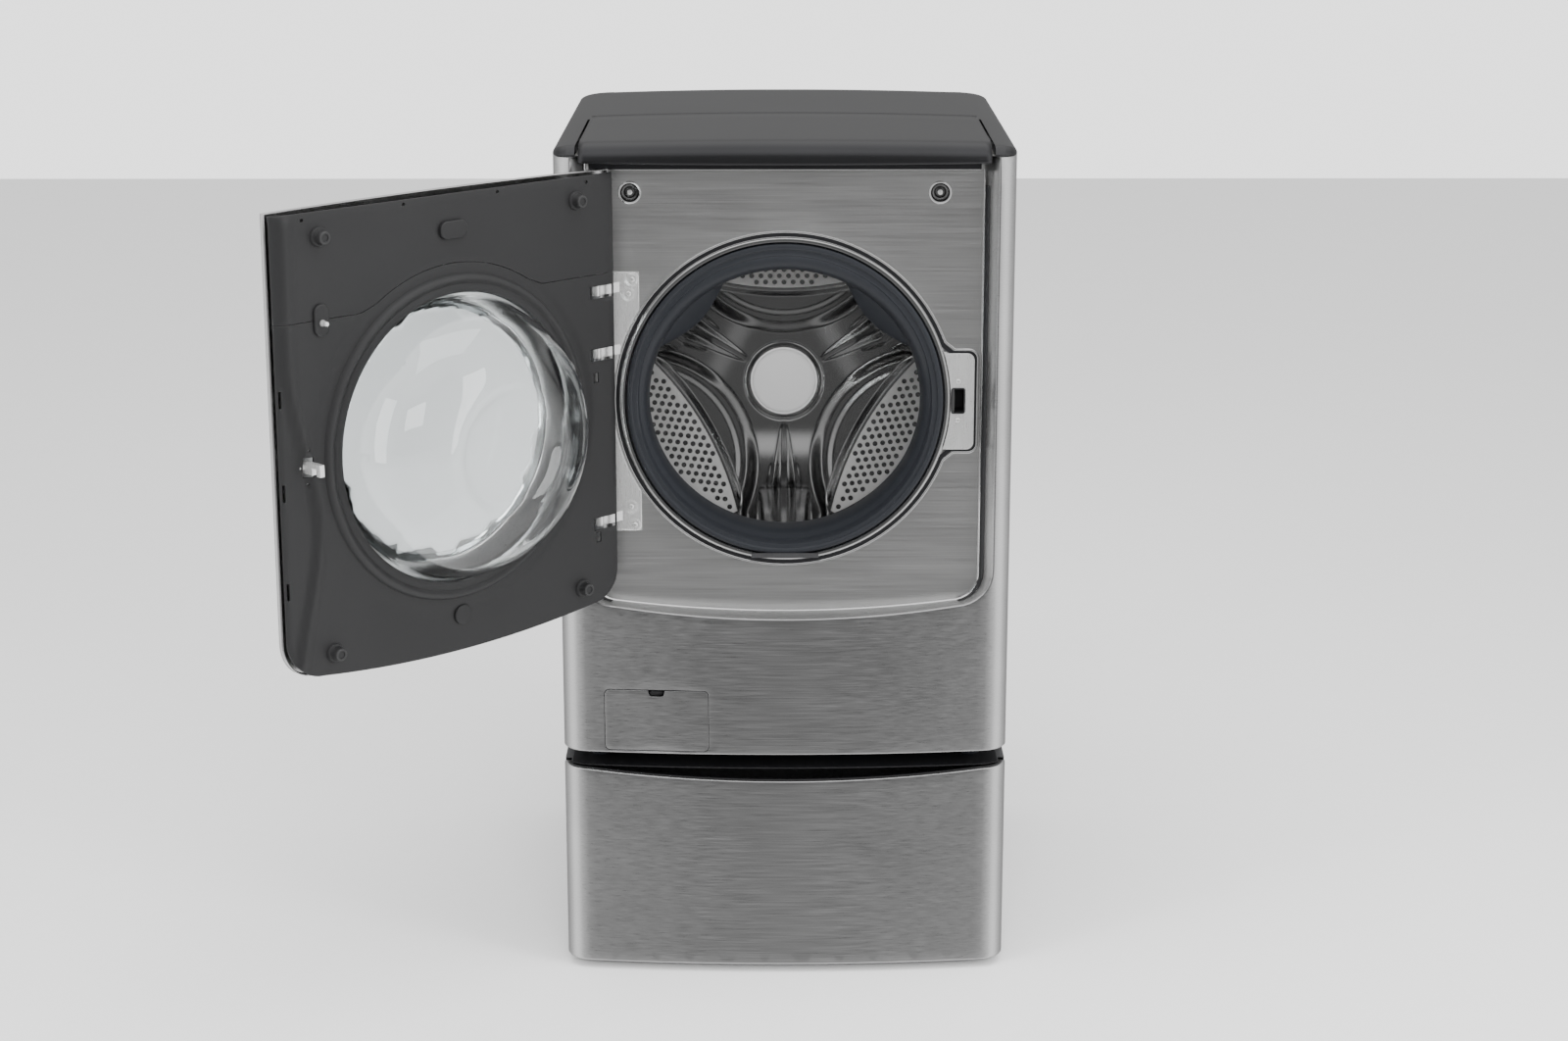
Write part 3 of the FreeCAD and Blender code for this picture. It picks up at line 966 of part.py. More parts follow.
def door():
    outline_prism = plate(recess_outline(DOOR_HALF, "door_gap", DOOR_TOP, "door_corner"), "-front_reach - 40", "-door_back - 3")
    face = slab(bowed_plan(DOOR_HALF, "door_proud", "-door_back"), BASE, TOP)
    solid = common(outline_prism, face)
    inner_outline = plate(recess_outline("(%s - skin)" % DOOR_HALF, "door_gap + skin", "(%s - skin)" % DOOR_TOP,
                                         "door_corner"), "-front_reach - 40", "-door_back")
    inner_face = slab(bowed_plan("(%s - 1)" % DOOR_HALF, "(door_proud - skin)", "-door_back + 1"), BASE, TOP)
    hollow = common(inner_outline, inner_face)
    window = rod("window_radius", "80", "0", "-front_reach - 40", MOUTH_Z, Y_AXIS)
    shell = cut(solid, hollow, window, *arm_slots())
    hung(shell, "door_outer_panel")
    lens = common(cut(slab(bowed_plan(DOOR_HALF, "door_proud", "-door_back"), BASE, TOP),
                      slab(bowed_plan(DOOR_HALF, "(door_proud - glass)", "-door_back + 1"), BASE + " - 1", TOP + " + 1")),
                  rod("window_radius - seam", "80", "0", "-front_reach - 40", MOUTH_Z, Y_AXIS))
    hung(lens, "door_window")
    inner = "(%s - 3)" % DOOR_HALF
    cover_outline = recess_outline(inner, "door_gap + 3", "(%s - 3)" % DOOR_TOP, "door_corner")
    cover = plate(cover_outline, "-door_back - 3", "-door_back")
    seam_z = BASE + " + cover_seam_rise"
    hole = rod("bowl_radius + 4", "20", "0", "-door_back - 10", MOUTH_Z, Y_AXIS)
    hump = rod("ring_radius - 5", "20", "0", "-door_back - 10", MOUTH_Z, Y_AXIS)
    upper_zone = box(("-" + HALF, HALF), ("-door_back - 9", "-door_back + 9"), (seam_z, TOP))
    low_zone = box(("-" + HALF, HALF), ("-door_back - 9", "-door_back + 9"), (BASE, seam_z + " - seam"))
    hump_low = rod("ring_radius - 5 - seam", "20", "0", "-door_back - 10", MOUTH_Z, Y_AXIS)
    hook_slot = box(("latch_x - 8", "latch_x + 8"), ("-door_back - 9", "-door_back + 9"),
                    (MOUTH_Z + " - 16", MOUTH_Z + " + 16"))
    slots = arm_slots()
    whole = cut(cover, hole, hook_slot, *slots)
    hung(cut(common(whole, upper_zone), hump), "door_inner_upper")
    cover_again = plate(cover_outline, "-door_back - 3", "-door_back")
    lower = common(cut(cover_again, hole, hook_slot, *slots), fuse(low_zone, hump_low))
    hung(fuse(lower, *hook_cheeks()), "door_inner_lower")
    bezel = [("bowl_radius - 2", "-door_back - 3"), ("bowl_radius - 2", "-door_back + 7"), ("bowl_radius + 6", "-door_back + 11"),
             ("bowl_radius + 16", "-door_back + 9"), ("bowl_radius + 27", "-door_back + 0.3"),
             ("bowl_radius + 3.7", "-door_back + 0.3"), ("bowl_radius + 3.7", "-door_back - 3")]
    hung(turned(bezel, mouth_frame()), "bowl_ring")
    bowl_parts()
    bumpers = []
    for side in ("-", ""):
        bumpers.append(rod("bumper_radius", "door_back - panel_reach - seam", side + "bumper_x", "-door_back",
                           TOP + " - bumper_top_drop", Y_AXIS))
        bumpers.append(rod("bumper_radius", "door_back - panel_reach - seam", side + "bumper_x", "-door_back",
                           BASE + " + bumper_low_rise", Y_AXIS))
    hung(group(*bumpers), "door_bumpers")
    z = MOUTH_Z
    stem = box(("latch_x - hook_half_width", "latch_x + hook_half_width"), ("-door_back - 16", "-panel_reach + 14"),
               (z + " - hook_half_height", z + " + hook_half_height"))
    throat = box(("latch_x - 10", "latch_x + 10"), ("-panel_reach - 6", "-panel_reach + 6"),
                 (z + " - hook_half_height - 1", z + " + hook_half_height - 7"))
    pivot = rod("4", "24", "latch_x - 12", "-door_back - 10", z, X_AXIS)
    hung(cut(fuse(stem, pivot), throat), "door_hook")


def hook_cheeks():
    """The two ears that carry the hook's pivot, behind the lower inner cover."""
    cheeks = []
    for low, high in (("latch_x - 14", "latch_x - 8.3"), ("latch_x + 8.3", "latch_x + 14")):
        cheek = box((low, high), ("-door_back - 18", "-door_back - 2"), (MOUTH_Z + " - 14", MOUTH_Z + " + 14"))
        cheeks.append(cut(cheek, rod("4 + pin_fit", "60", "latch_x - 30", "-door_back - 10", MOUTH_Z, X_AXIS)))
    return cheeks


def bowl_parts():
    """Clear bowl: a rim flange behind the inner cover and a deep wall with a flat back."""
    rim = "bowl_radius"
    deep = "(-door_back + bowl_depth)"
    profile = [("0", deep), ("120", deep + " - 4"), (rim + " - 36", deep + " - 44"),
               (rim + " - 8", "-door_back + 12"), (rim + " - 4", "-door_back - 4"), (rim + " + 14", "-door_back - 4"),
               (rim + " + 14", "-door_back - 4 - glass"), (rim + " - 9", "-door_back - 4 - glass"),
               (rim + " - 13", "-door_back + 10"), (rim + " - 41", deep + " - 46"),
               ("118", deep + " - 4 - glass"), ("0", deep + " - glass")]
    hung(turned(profile[::-1], mouth_frame()), "glass_bowl")


def build():
    feet()
    pedestal()
    drawer_rails()
    drawer()
    cabinet_shell()
    rear_panel()
    front_frame()
    inner_panel()
    panel_screws()
    opening_trim()
    latch()
    hinges()
    top_parts()
    dispenser()
    water_parts()
    gasket()
    tub()
    suspension()
    drum()
    drain_parts()
    door()
    doc.recompute()


def export():
    faults = ["%s (%s): %s" % (obj.Name, obj.Label, obj.State) for obj in doc.Objects
              if "Invalid" in obj.State or "Error" in obj.State]
    for label, obj in nodes.items():
        if obj.Shape.isNull() or not obj.Shape.isValid() or not obj.Shape.Solids:
            faults.append("%s has no valid solid" % label)
            continue
        print("%-24s %2d solids %12.0f mm3" % (label, len(obj.Shape.Solids), obj.Shape.Volume))
    if faults:
        raise RuntimeError("\n".join(faults))
    for label, obj in nodes.items():
        obj.Shape.exportStep("parts/%s.step" % label)


build()
export()
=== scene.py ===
import json
import math

import bmesh
import bpy
import numpy as np
from mathutils import Matrix, Vector
from mathutils.geometry import delaunay_2d_cdt


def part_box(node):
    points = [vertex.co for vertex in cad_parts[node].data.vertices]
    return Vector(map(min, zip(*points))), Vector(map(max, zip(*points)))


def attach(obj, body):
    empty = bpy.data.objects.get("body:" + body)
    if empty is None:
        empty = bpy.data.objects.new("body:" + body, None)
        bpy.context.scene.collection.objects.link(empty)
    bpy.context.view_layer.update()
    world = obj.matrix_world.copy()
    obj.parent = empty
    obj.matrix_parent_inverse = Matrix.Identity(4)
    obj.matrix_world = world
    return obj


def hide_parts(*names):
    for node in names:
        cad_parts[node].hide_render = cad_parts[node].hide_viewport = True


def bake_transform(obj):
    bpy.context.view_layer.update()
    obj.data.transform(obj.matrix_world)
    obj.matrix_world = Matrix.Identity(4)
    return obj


# Front load washing machine on a drawer pedestal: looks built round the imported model.
# Shapes are written in millimetres, in the row frame, and scaled to metres as their mesh is made.
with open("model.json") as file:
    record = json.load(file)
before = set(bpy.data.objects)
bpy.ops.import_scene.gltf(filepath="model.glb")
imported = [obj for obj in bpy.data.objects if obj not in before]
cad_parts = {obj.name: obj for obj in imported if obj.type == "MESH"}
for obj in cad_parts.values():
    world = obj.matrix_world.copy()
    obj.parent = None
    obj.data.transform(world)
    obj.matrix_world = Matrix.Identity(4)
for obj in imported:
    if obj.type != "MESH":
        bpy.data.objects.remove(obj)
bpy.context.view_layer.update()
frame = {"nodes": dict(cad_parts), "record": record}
MM = 0.001


def size_of(node):
    """Low and high corner of a CAD node, in millimetres."""
    low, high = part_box(node)
    return low / MM, high / MM

# ---- places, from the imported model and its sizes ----
SIDE_LOW, SIDE_HIGH = size_of("side_panel_right")
HALF = SIDE_HIGH.x
BASE = SIDE_LOW.z
TOP = SIDE_HIGH.z
REACH = -size_of("front_frame")[0].y
REAR = size_of("rear_panel")[1].y
MOUTH_Z = (size_of("opening_ring")[0].z + size_of("opening_ring")[1].z) / 2
PANEL_Y = size_of("inner_front_panel")[1].y - 6.5
BOW = 20.0
CORNER = 38.5
EDGE = HALF - CORNER
BOW_R = (EDGE ** 2 + BOW ** 2) / (2 * BOW)
BOW_Y = BOW_R - REACH
LEAN = math.asin(EDGE / BOW_R)
CORNER_R = CORNER / (1 - math.sin(LEAN))
SIDE_Y = BOW_Y - (BOW_R - CORNER_R) * math.cos(LEAN)
RECESS_HALF = HALF - 50.5
RECESS_Z = BASE + 234
FLARE = 0.627
FRONT_HALF = RECESS_HALF + (REACH - BOW + PANEL_Y) * FLARE
FRONT_TOP = TOP - 0.3
SMILE_R = 2100.0
DOOR_GAP = 11.0
DOOR_HALF = FRONT_HALF - 10
DOOR_TOP = TOP - 10 - DOOR_GAP
DOOR_BACK = -383.0
DOOR_PROUD = 11.0
HINGE = Vector((17 - RECESS_HALF, -400, 0))
HINGE_SCREWS = [(-245, MOUTH_Z + 199), (-251, MOUTH_Z + 176), (-251, MOUTH_Z - 176), (-245, MOUTH_Z - 207)]
ARM_LEVELS = (187, 86, -191)
PLATE_Y = PANEL_Y - 4.4
MOUTH_R = 270.0
CUP_X, CUP_Z = 247, TOP - 61
SEAM = BASE + 804
PANE_R = 204.0
LID_HALF = HALF - 40.5
TILT = math.radians(8.4)
DRUM_BACK = 452.0
DRUM_R = 290.0
REAR_COVER_Z = BASE + 475.8


def facing(x, y, z):
    """Place of a turned shape at (x, y, z), with its heights running rearwards."""
    return Matrix.Translation((x, y, z)) @ Matrix.Rotation(math.radians(-90), 4, "X")


MOUTH = facing(0, 0, MOUTH_Z)
TUB = (Matrix.Translation((0, -300, MOUTH_Z - (-PANEL_Y - 300) * math.tan(TILT)))
       @ Matrix.Rotation(math.radians(-90) - TILT, 4, "X"))
SWING = (Matrix.Translation(HINGE) @ Matrix.Rotation(math.radians(-135), 4, "Z")
         @ Matrix.Translation(-HINGE))


# ---- materials ----
def new_node(tree, kind, **values):
    """A shader node with its inputs set; a space in an input's name is written as _."""
    node = tree.nodes.new("ShaderNode" + kind)
    for socket, value in values.items():
        node.inputs[socket.replace("_", " ")].default_value = value
    return node


def link(source, out, target, into):
    source.id_data.links.new(source.outputs[out], target.inputs[into])


def make_material(name, colour, metal, rough, scale, spread, rough_spread, bump, stretch=(1, 1, 1),
                  depth=0.0002, coat=0.0, aniso=0.0, transmission=0.0, ior=1.45, wear=0.0, specular=0.5):
    """Grain from stretched noise, slow mottling, roughness and bump from the grain, and paler edges."""
    material = bpy.data.materials.new(name)
    material.use_nodes = True
    tree = material.node_tree
    shader = tree.nodes["Principled BSDF"]
    values = {"Metallic": metal, "Coat Weight": coat, "Coat Roughness": 0.15, "Anisotropic": aniso,
              "Transmission Weight": transmission, "IOR": ior, "Specular IOR Level": specular}
    for socket, number in values.items():
        shader.inputs[socket].default_value = number
    place = new_node(tree, "TexCoord")
    mapping = new_node(tree, "Mapping", Scale=stretch)
    grain = new_node(tree, "TexNoise", Scale=scale, Detail=5.0, Roughness=0.65)
    slow = new_node(tree, "TexNoise", Scale=6.0, Detail=3.0)
    both = new_node(tree, "Mix", Factor=0.35)
    link(place, "Object", mapping, "Vector")
    link(mapping, "Vector", grain, "Vector")
    link(place, "Object", slow, "Vector")
    link(grain, "Fac", both, "A")
    link(slow, "Fac", both, "B")
    ramp = new_node(tree, "ValToRGB")
    for element, at, share in zip(ramp.color_ramp.elements, (0.3, 0.7), (1 - spread, 1 + spread)):
        element.position = at
        element.color = [min(1.0, c * share) for c in colour] + [1.0]
    link(both, "Result", ramp, "Fac")
    if wear:
        geometry = new_node(tree, "NewGeometry")
        edges = new_node(tree, "MapRange", From_Min=0.52, From_Max=0.62, To_Max=wear)
        worn = new_node(tree, "Mix")
        worn.data_type = "RGBA"
        worn.inputs["B"].default_value = [min(1.0, c * 1.6 + 0.08) for c in colour] + [1.0]
        link(geometry, "Pointiness", edges, "Value")
        link(edges, "Result", worn, "Factor")
        link(ramp, "Color", worn, "A")
        link(worn, "Result", shader, "Base Color")
    else:
        link(ramp, "Color", shader, "Base Color")
    spreader = new_node(tree, "MapRange", From_Min=0.3, From_Max=0.7, To_Min=max(0.0, rough - rough_spread),
                        To_Max=rough + rough_spread)
    link(grain, "Fac", spreader, "Value")
    link(spreader, "Result", shader, "Roughness")
    if bump:
        bumper = new_node(tree, "Bump", Strength=bump, Distance=depth)
        link(grain, "Fac", bumper, "Height")
        link(bumper, "Normal", shader, "Normal")
    if aniso:
        tangent = new_node(tree, "Tangent")
        tangent.direction_type = "RADIAL"
        tangent.axis = "Z"
        link(tangent, "Tangent", shader, "Tangent")
    return material


# Colour, metal, roughness, grain scale, spreads of colour and roughness, bump, and what else is set.
BRUSHED = {"stretch": (0.011, 1, 1), "aniso": 0.55}
GLASS = {"transmission": 1.0, "ior": 1.48}
LOOKS = {
    "brushed_steel": ((0.56, 0.56, 0.56), 1, 0.33, 480, 0.17, 0.07, 0.05, BRUSHED),
    "flap_steel": ((0.56, 0.56, 0.56), 1, 0.33, 480, 0.17, 0.07, 0.05, BRUSHED),
    "panel_steel": ((0.74, 0.74, 0.735), 0.975, 0.35, 480, 0.12, 0.07, 0.05, {**BRUSHED, "aniso": 0.45}),
    "graphite_cover": ((0.036, 0.036, 0.038), 0.85, 0.34, 2600, 0.16, 0.05, 0.06, {}),
    "painted_sheet": ((0.075, 0.076, 0.078), 0.4, 0.45, 1300, 0.12, 0.06, 0.25, {"wear": 0.25}),
    "galvanised": ((0.48, 0.49, 0.50), 0.9, 0.45, 90, 0.18, 0.12, 0.1, {}),
    "stainless": ((0.72, 0.72, 0.715), 0.75, 0.3, 900, 0.07, 0.06, 0.12, {"stretch": (1, 1, 0.03)}),
    "chrome_trim": ((0.72, 0.72, 0.72), 1, 0.16, 500, 0.04, 0.05, 0.04, {}),
    "drum_steel": ((0.58, 0.58, 0.58), 1, 0.2, 60, 0.02, 0.03, 0.01, {}),
    "lens_steel": ((0.78, 0.78, 0.77), 0.45, 0.42, 500, 0.04, 0.05, 0.05, {}),
    "lifter_plastic": ((0.13, 0.13, 0.135), 1, 0.1, 60, 0.05, 0.03, 0.01, {}),
    "charcoal_plastic": ((0.0105, 0.0105, 0.011), 0, 0.55, 1500, 0.14, 0.05, 0.45,
                         {"depth": 0.0003, "wear": 0.3}),
    "black_plastic": ((0.007, 0.007, 0.0075), 0, 0.42, 1500, 0.2, 0.06, 0.4, {"depth": 0.0003}),
    "tub_plastic": ((0.62, 0.62, 0.59), 0, 0.52, 600, 0.05, 0.05, 0.3, {"depth": 0.0003}),
    "tray_plastic": ((0.74, 0.75, 0.76), 0, 0.35, 800, 0.04, 0.05, 0.2, {}),
    "rubber": ((0.0135, 0.0148, 0.0180), 0, 0.5, 900, 0.12, 0.07, 0.35, {"depth": 0.0003, "specular": 0.4}),
    "clear_glass": ((0.95, 0.97, 0.97), 0, 0.02, 40, 0.01, 0.008, 0.0, GLASS),
    "tinted_glass": ((0.80, 0.83, 0.84), 0, 0.02, 30, 0.01, 0.008, 0.0, GLASS),
    "cast_weight": ((0.22, 0.21, 0.20), 0.2, 0.75, 220, 0.3, 0.1, 0.9, {"depth": 0.001}),
    "cast_alloy": ((0.52, 0.53, 0.54), 1, 0.46, 380, 0.1, 0.1, 0.5, {"depth": 0.0004}),
    "motor_steel": ((0.30, 0.30, 0.31), 1, 0.38, 700, 0.12, 0.08, 0.2, {"stretch": (1, 1, 0.2)}),
    "cap_satin": ((0.9, 0.9, 0.9), 0, 0.4, 900, 0.02, 0.05, 0.08, {"coat": 0.3}),
    "cup_dark": ((0.16, 0.16, 0.16), 1, 0.25, 500, 0.1, 0.05, 0.05, {}),
    # painted shade: near-black for strips and sheets put where gaps, recesses, slots and holes fall into
    # shade
    "painted_shade_black": ((0.008, 0.008, 0.009), 0, 0.35, 800, 0.3, 0.06, 0.2, {}),
}
MATERIALS = {name: make_material(name, *look[:-1], **look[-1]) for name, look in LOOKS.items()}
SLOT_OF = {row["node"]: row["material_slot"] for row in frame["record"]["subparts"]}
for node_name, cad_node in frame["nodes"].items():
    cad_node.data.materials.clear()
    cad_node.data.materials.append(MATERIALS[SLOT_OF[node_name]])


# ---- mesh helpers ----
def placed(name, data):
    """A new object of the scene."""
    obj = bpy.data.objects.new(name, data)
    bpy.context.scene.collection.objects.link(obj)
    return obj


def edited(obj, change):
    """Runs a change on the object's mesh."""
    work = bmesh.new()
    work.from_mesh(obj.data)
    change(work)
    work.to_mesh(obj.data)
    work.free()
    return obj


def add(name, verts, faces, matrix=None):
    """A mesh from points in millimetres."""
    mesh = bpy.data.meshes.new(name)
    mesh.from_pydata([tuple(v) for v in verts], [], [tuple(f) for f in faces])
    if matrix is not None:
        mesh.transform(matrix)
    mesh.transform(Matrix.Scale(MM, 4))
    return placed(name, mesh)


def cleaned(obj, closed=True, merge=0.00002):
    """Welds points closer than merge, in metres, and turns a closed shape's faces outward."""
    def weld(work):
        bmesh.ops.remove_doubles(work, verts=work.verts, dist=merge)
        bmesh.ops.dissolve_degenerate(work, edges=work.edges, dist=merge)
        if closed:
            bmesh.ops.recalc_face_normals(work, faces=work.faces)
    return edited(obj, weld)


def smooth(obj, angle=35.0):
    obj.data.shade_smooth()
    obj.data.set_sharp_from_angle(angle=math.radians(angle))
    return obj


def bevelled(obj, width, segments=2, angle=35.0):
    modifier = obj.modifiers.new("edges", "BEVEL")
    modifier.width = width * MM
    modifier.segments = segments
    modifier.limit_method = "ANGLE"
    modifier.angle_limit = math.radians(angle)
    modifier.harden_normals = True
    return obj


def thick(obj, thickness, offset=-1.0):
    modifier = obj.modifiers.new("thickness", "SOLIDIFY")
    modifier.thickness = thickness * MM
    modifier.offset = offset
    modifier.use_even_offset = False
    return obj


def applied(obj):
    graph = bpy.context.evaluated_depsgraph_get()
    mesh = bpy.data.meshes.new_from_object(obj.evaluated_get(graph))
    obj.modifiers.clear()
    obj.data = mesh
    return obj


def joined(name, objects):
    work = bmesh.new()
    for obj in objects:
        work.from_mesh(obj.data)
    mesh = bpy.data.meshes.new(name)
    work.to_mesh(mesh)
    work.free()
    for obj in objects:
        bpy.data.objects.remove(obj)
    return placed(name, mesh)


def carved(obj, *tools):
    for tool in tools:
        modifier = obj.modifiers.new("carve", "BOOLEAN")
        modifier.object = tool
        modifier.operation = "DIFFERENCE"
        modifier.solver = "EXACT"
    applied(obj)
    for tool in tools:
        bpy.data.objects.remove(tool)
    return obj


def flipped(obj):
    obj.data.flip_normals()
    return obj


def piece(obj, body, slot, replaces=(), material=None, angle=35.0, shade=True):
    if shade:
        smooth(obj, angle)
    obj.data.materials.clear()
    obj.data.materials.append(MATERIALS[material or slot])
    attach(obj, body)
    if replaces:
        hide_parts(*replaces)
    return obj


def black(obj, slot, angle=35.0):
    """A black strip or sheet that paints the shade in a gap, seam, slot or recess of the cabinet."""
    return piece(obj, "cabinet", slot, material="painted_shade_black", angle=angle)


def arc(cx, cy, radius, start, end, steps):
    """Points on an arc, angles in degrees."""
    angles = np.radians(np.linspace(start, end, steps + 1))
    return [(cx + radius * math.cos(a), cy + radius * math.sin(a)) for a in angles]


def round_box(x0, x1, y0, y1, radius, steps=5):
    left, right, low, high = x0 + radius, x1 - radius, y0 + radius, y1 - radius
    corners = ((right, low, -90), (right, high, 0), (left, high, 90), (left, low, 180))
    return [p for x, y, start in corners for p in arc(x, y, radius, start, start + 90, steps)]


def circle(cx, cy, radius, steps=48):
    return arc(cx, cy, radius, 0, 360, steps)[:-1]


def lathe(name, profile, matrix, steps=144):
    """A closed profile (radius, height) turned about the matrix's Z axis."""
    verts, faces, count = [], [], len(profile)
    for station in range(steps):
        turn = 2 * math.pi * station / steps
        verts += [(radius * math.cos(turn), radius * math.sin(turn), height) for radius, height in profile]
        here, there = station * count, (station + 1) % steps * count
        for index in range(count):
            after = (index + 1) % count
            faces.append((here + index, there + index, there + after, here + after))
    return cleaned(add(name, verts, faces, matrix))


def rows_mesh(name, rows, matrix=None, around=False):
    """Quads between rows of points that all have the same length."""
    count = len(rows[0])
    verts = [point for row in rows for point in row]
    faces = []
    for row in range(len(rows) - 1):
        for column in range(count if around else count - 1):
            right = (column + 1) % count
            a, b = row * count, (row + 1) * count
            faces.append((a + column, a + right, b + right, b + column))
    return add(name, verts, faces, matrix)


def prism(name, outline, low, high):
    """An outline in plan, closed between two heights."""
    count = len(outline)
    verts = [(x, y, z) for z in (low, high) for x, y in outline]
    faces = [range(count), range(count, 2 * count)]
    faces += [(i, (i + 1) % count, count + (i + 1) % count, count + i) for i in range(count)]
    return cleaned(add(name, verts, faces))


def block(name, x, y, z):
    return prism(name, [(x[0], y[0]), (x[1], y[0]), (x[1], y[1]), (x[0], y[1])], z[0], z[1])


def inside(points, loops):
    """Even-odd test of many points against several loops."""
    result = np.zeros(len(points), bool)
    x, y = points[:, 0], points[:, 1]
    for loop in loops:
        p = np.array(loop, float)
        q = np.roll(p, -1, 0)
        for (x0, y0), (x1, y1) in zip(p, q):
            if y0 != y1:
                crosses = ((y0 > y) != (y1 > y)) & (x < (x1 - x0) * (y - y0) / (y1 - y0) + x0)
                result ^= crosses
    return result


def area_of(loop):
    return sum(a[0] * b[1] - b[0] * a[1] for a, b in zip(loop, loop[1:] + loop[:1])) / 2


def inward(loop):
    """Unit normals of a loop that has its material on the left."""
    p = np.array(loop, float)
    along = np.roll(p, -1, 0) - np.roll(p, 1, 0)
    along /= np.maximum(np.linalg.norm(along, axis=1), 1e-9)[:, None]
    return np.stack([-along[:, 1], along[:, 0]], 1)


def plate(name, outer, holes, surface, roll=1.0, depth=3.0, spacing=None, targets=None, hole_roll=None,
          hole_depth=None, matrix=None, bends=4):
    """A formed sheet: a face with rolled edges, at its outline and round its holes.
    surface(u, v, d) is the point d behind the face at (u, v); targets are where the outline's walls end."""
    loops = [list(outer) if area_of(list(outer)) > 0 else list(outer)[::-1]]
    loops += [list(h) if area_of(list(h)) < 0 else list(h)[::-1] for h in holes]
    flat, edges, rings_of = [], [], []
    for number, loop in enumerate(loops):
        r = roll if number == 0 or hole_roll is None else hole_roll
        wall = depth if number == 0 or hole_depth is None else hole_depth
        ends = [Vector(surface(p[0], p[1], wall)) for p in loop]
        if targets and number == 0:
            ends = [Vector(target) if target else end for target, end in zip(targets, ends)]
        pulled = [(p[0] + n[0] * r, p[1] + n[1] * r) for p, n in zip(loop, inward(loop))]
        start, count = len(flat), len(loop)
        flat += pulled
        edges += [(start + i, start + (i + 1) % count) for i in range(count)]
        rings = [[] for _ in range(bends)] + [ends]
        for p, q, end in zip(loop, pulled, ends):
            face_point, corner = Vector(surface(q[0], q[1], 0)), Vector(surface(p[0], p[1], 0))
            below = corner + (end - corner).normalized() * min(r, (end - corner).length * 0.9)
            for bend in range(bends):
                t = (bend + 1) / bends
                rings[bend].append(face_point * (1 - t) ** 2 + corner * 2 * t * (1 - t) + below * t * t)
        rings_of.append((start, count, rings))
    outlines = [flat[start:start + count] for start, count, _ in rings_of]
    if spacing:
        low, high = np.min(flat, 0), np.max(flat, 0)
        us = np.arange(low[0] + spacing / 2, high[0], spacing)
        vs = np.arange(low[1] + spacing / 2, high[1], spacing)
        points = np.array([(u, v) for v in vs for u in us], float)
        points = points[inside(points, outlines)]
        border = np.array(flat, float)
        if len(points):
            for chunk in np.array_split(border, max(1, len(border) // 200)):
                gap = np.linalg.norm(points[:, None, :] - chunk[None, :, :], axis=2).min(1)
                points = points[gap > spacing * 0.45]
        flat += [tuple(p) for p in points]
    net, _, faces, origins_of = delaunay_2d_cdt([Vector(p) for p in flat], edges, [], 1, 1e-7)[:4]
    centres = np.array([np.mean([net[i] for i in face], 0)[:2] for face in faces], float)
    faces = [face for face, kept in zip(faces, inside(centres, outlines)) if kept]
    where = {origin: index for index, origins in enumerate(origins_of) for origin in origins}
    verts = [Vector(surface(p[0], p[1], 0)) for p in net]
    for start, count, rings in rings_of:
        previous = [where[start + i] for i in range(count)]
        for ring in rings:
            current = list(range(len(verts), len(verts) + count))
            verts += ring
            for i in range(count):
                j = (i + 1) % count
                faces.append((previous[j], previous[i], current[i], current[j]))
            previous = current
    return cleaned(add(name, verts, faces, matrix), closed=False, merge=0.000004)


def swept_loop(name, loop, section, surface):
    """A section (outward, forward) carried round a closed loop that lies on a surface."""
    rows = [[surface(x - nx * a, z - nz * a, -b) for a, b in section]
            for (x, z), (nx, nz) in zip(loop, inward(loop))]
    rows.append(rows[0])
    return cleaned(rows_mesh(name, rows, around=True))


# ---- shared curves ----
def smile(x, lift=0.0):
    return RECESS_Z + lift + SMILE_R - math.sqrt(SMILE_R ** 2 - x * x)


def recess_outline(half, lift, top, corner, steps=8, across=36, up=14):
    """Open outline from the top left, down, along the curved floor and up to the top right."""
    inner = half - corner
    foot = smile(inner, lift)
    left = [(-half, z) for z in np.linspace(top, foot + corner, up + 1)[:-1]]
    floor = [(x, smile(x, lift)) for x in np.linspace(-inner, inner, across + 1)[1:-1]]
    right = [(half, z) for z in np.linspace(foot + corner, top, up + 1)[1:]]
    return (left + arc(-inner, foot + corner, corner, 180, 270, steps) + floor
            + arc(inner, foot + corner, corner, 270, 360, steps) + right)


BOW_LENGTH = BOW_R * LEAN
CORNER_LENGTH = CORNER_R * (math.pi / 2 - LEAN)
SKIN_HALF = BOW_LENGTH + CORNER_LENGTH


def skin_surface(s, z, d, proud=0.0):
    """Point of the bowed front at the distance s along its plan, d behind the face."""
    side, along = (1 if s >= 0 else -1), abs(s)
    if along <= BOW_LENGTH:
        angle = along / BOW_R
        radius = BOW_R + proud - d
        return (side * radius * math.sin(angle), BOW_Y - radius * math.cos(angle), z)
    angle = LEAN + min((along - BOW_LENGTH) / CORNER_R, math.pi / 2 - LEAN)
    radius = CORNER_R + proud - d
    return (side * (HALF - CORNER_R + radius * math.sin(angle)), SIDE_Y - radius * math.cos(angle), z)


def skin_s(x):
    """Distance along the plan of the point at x on the bowed part."""
    if abs(x) <= EDGE:
        return BOW_R * math.asin(x / BOW_R)
    turn = math.asin(min(1.0, (abs(x) - (HALF - CORNER_R)) / CORNER_R))
    return math.copysign(BOW_LENGTH + CORNER_R * (turn - LEAN), x)


def front_y(x, proud=0.0):
    return skin_surface(skin_s(x), 0, 0, proud)[1]


def door_face(x, z, d):
    radius = BOW_R + DOOR_PROUD - d
    return (x, BOW_Y - math.sqrt(radius ** 2 - x * x), z)


def in_panel(x, z, d):
    return (x, PANEL_Y + d, z)


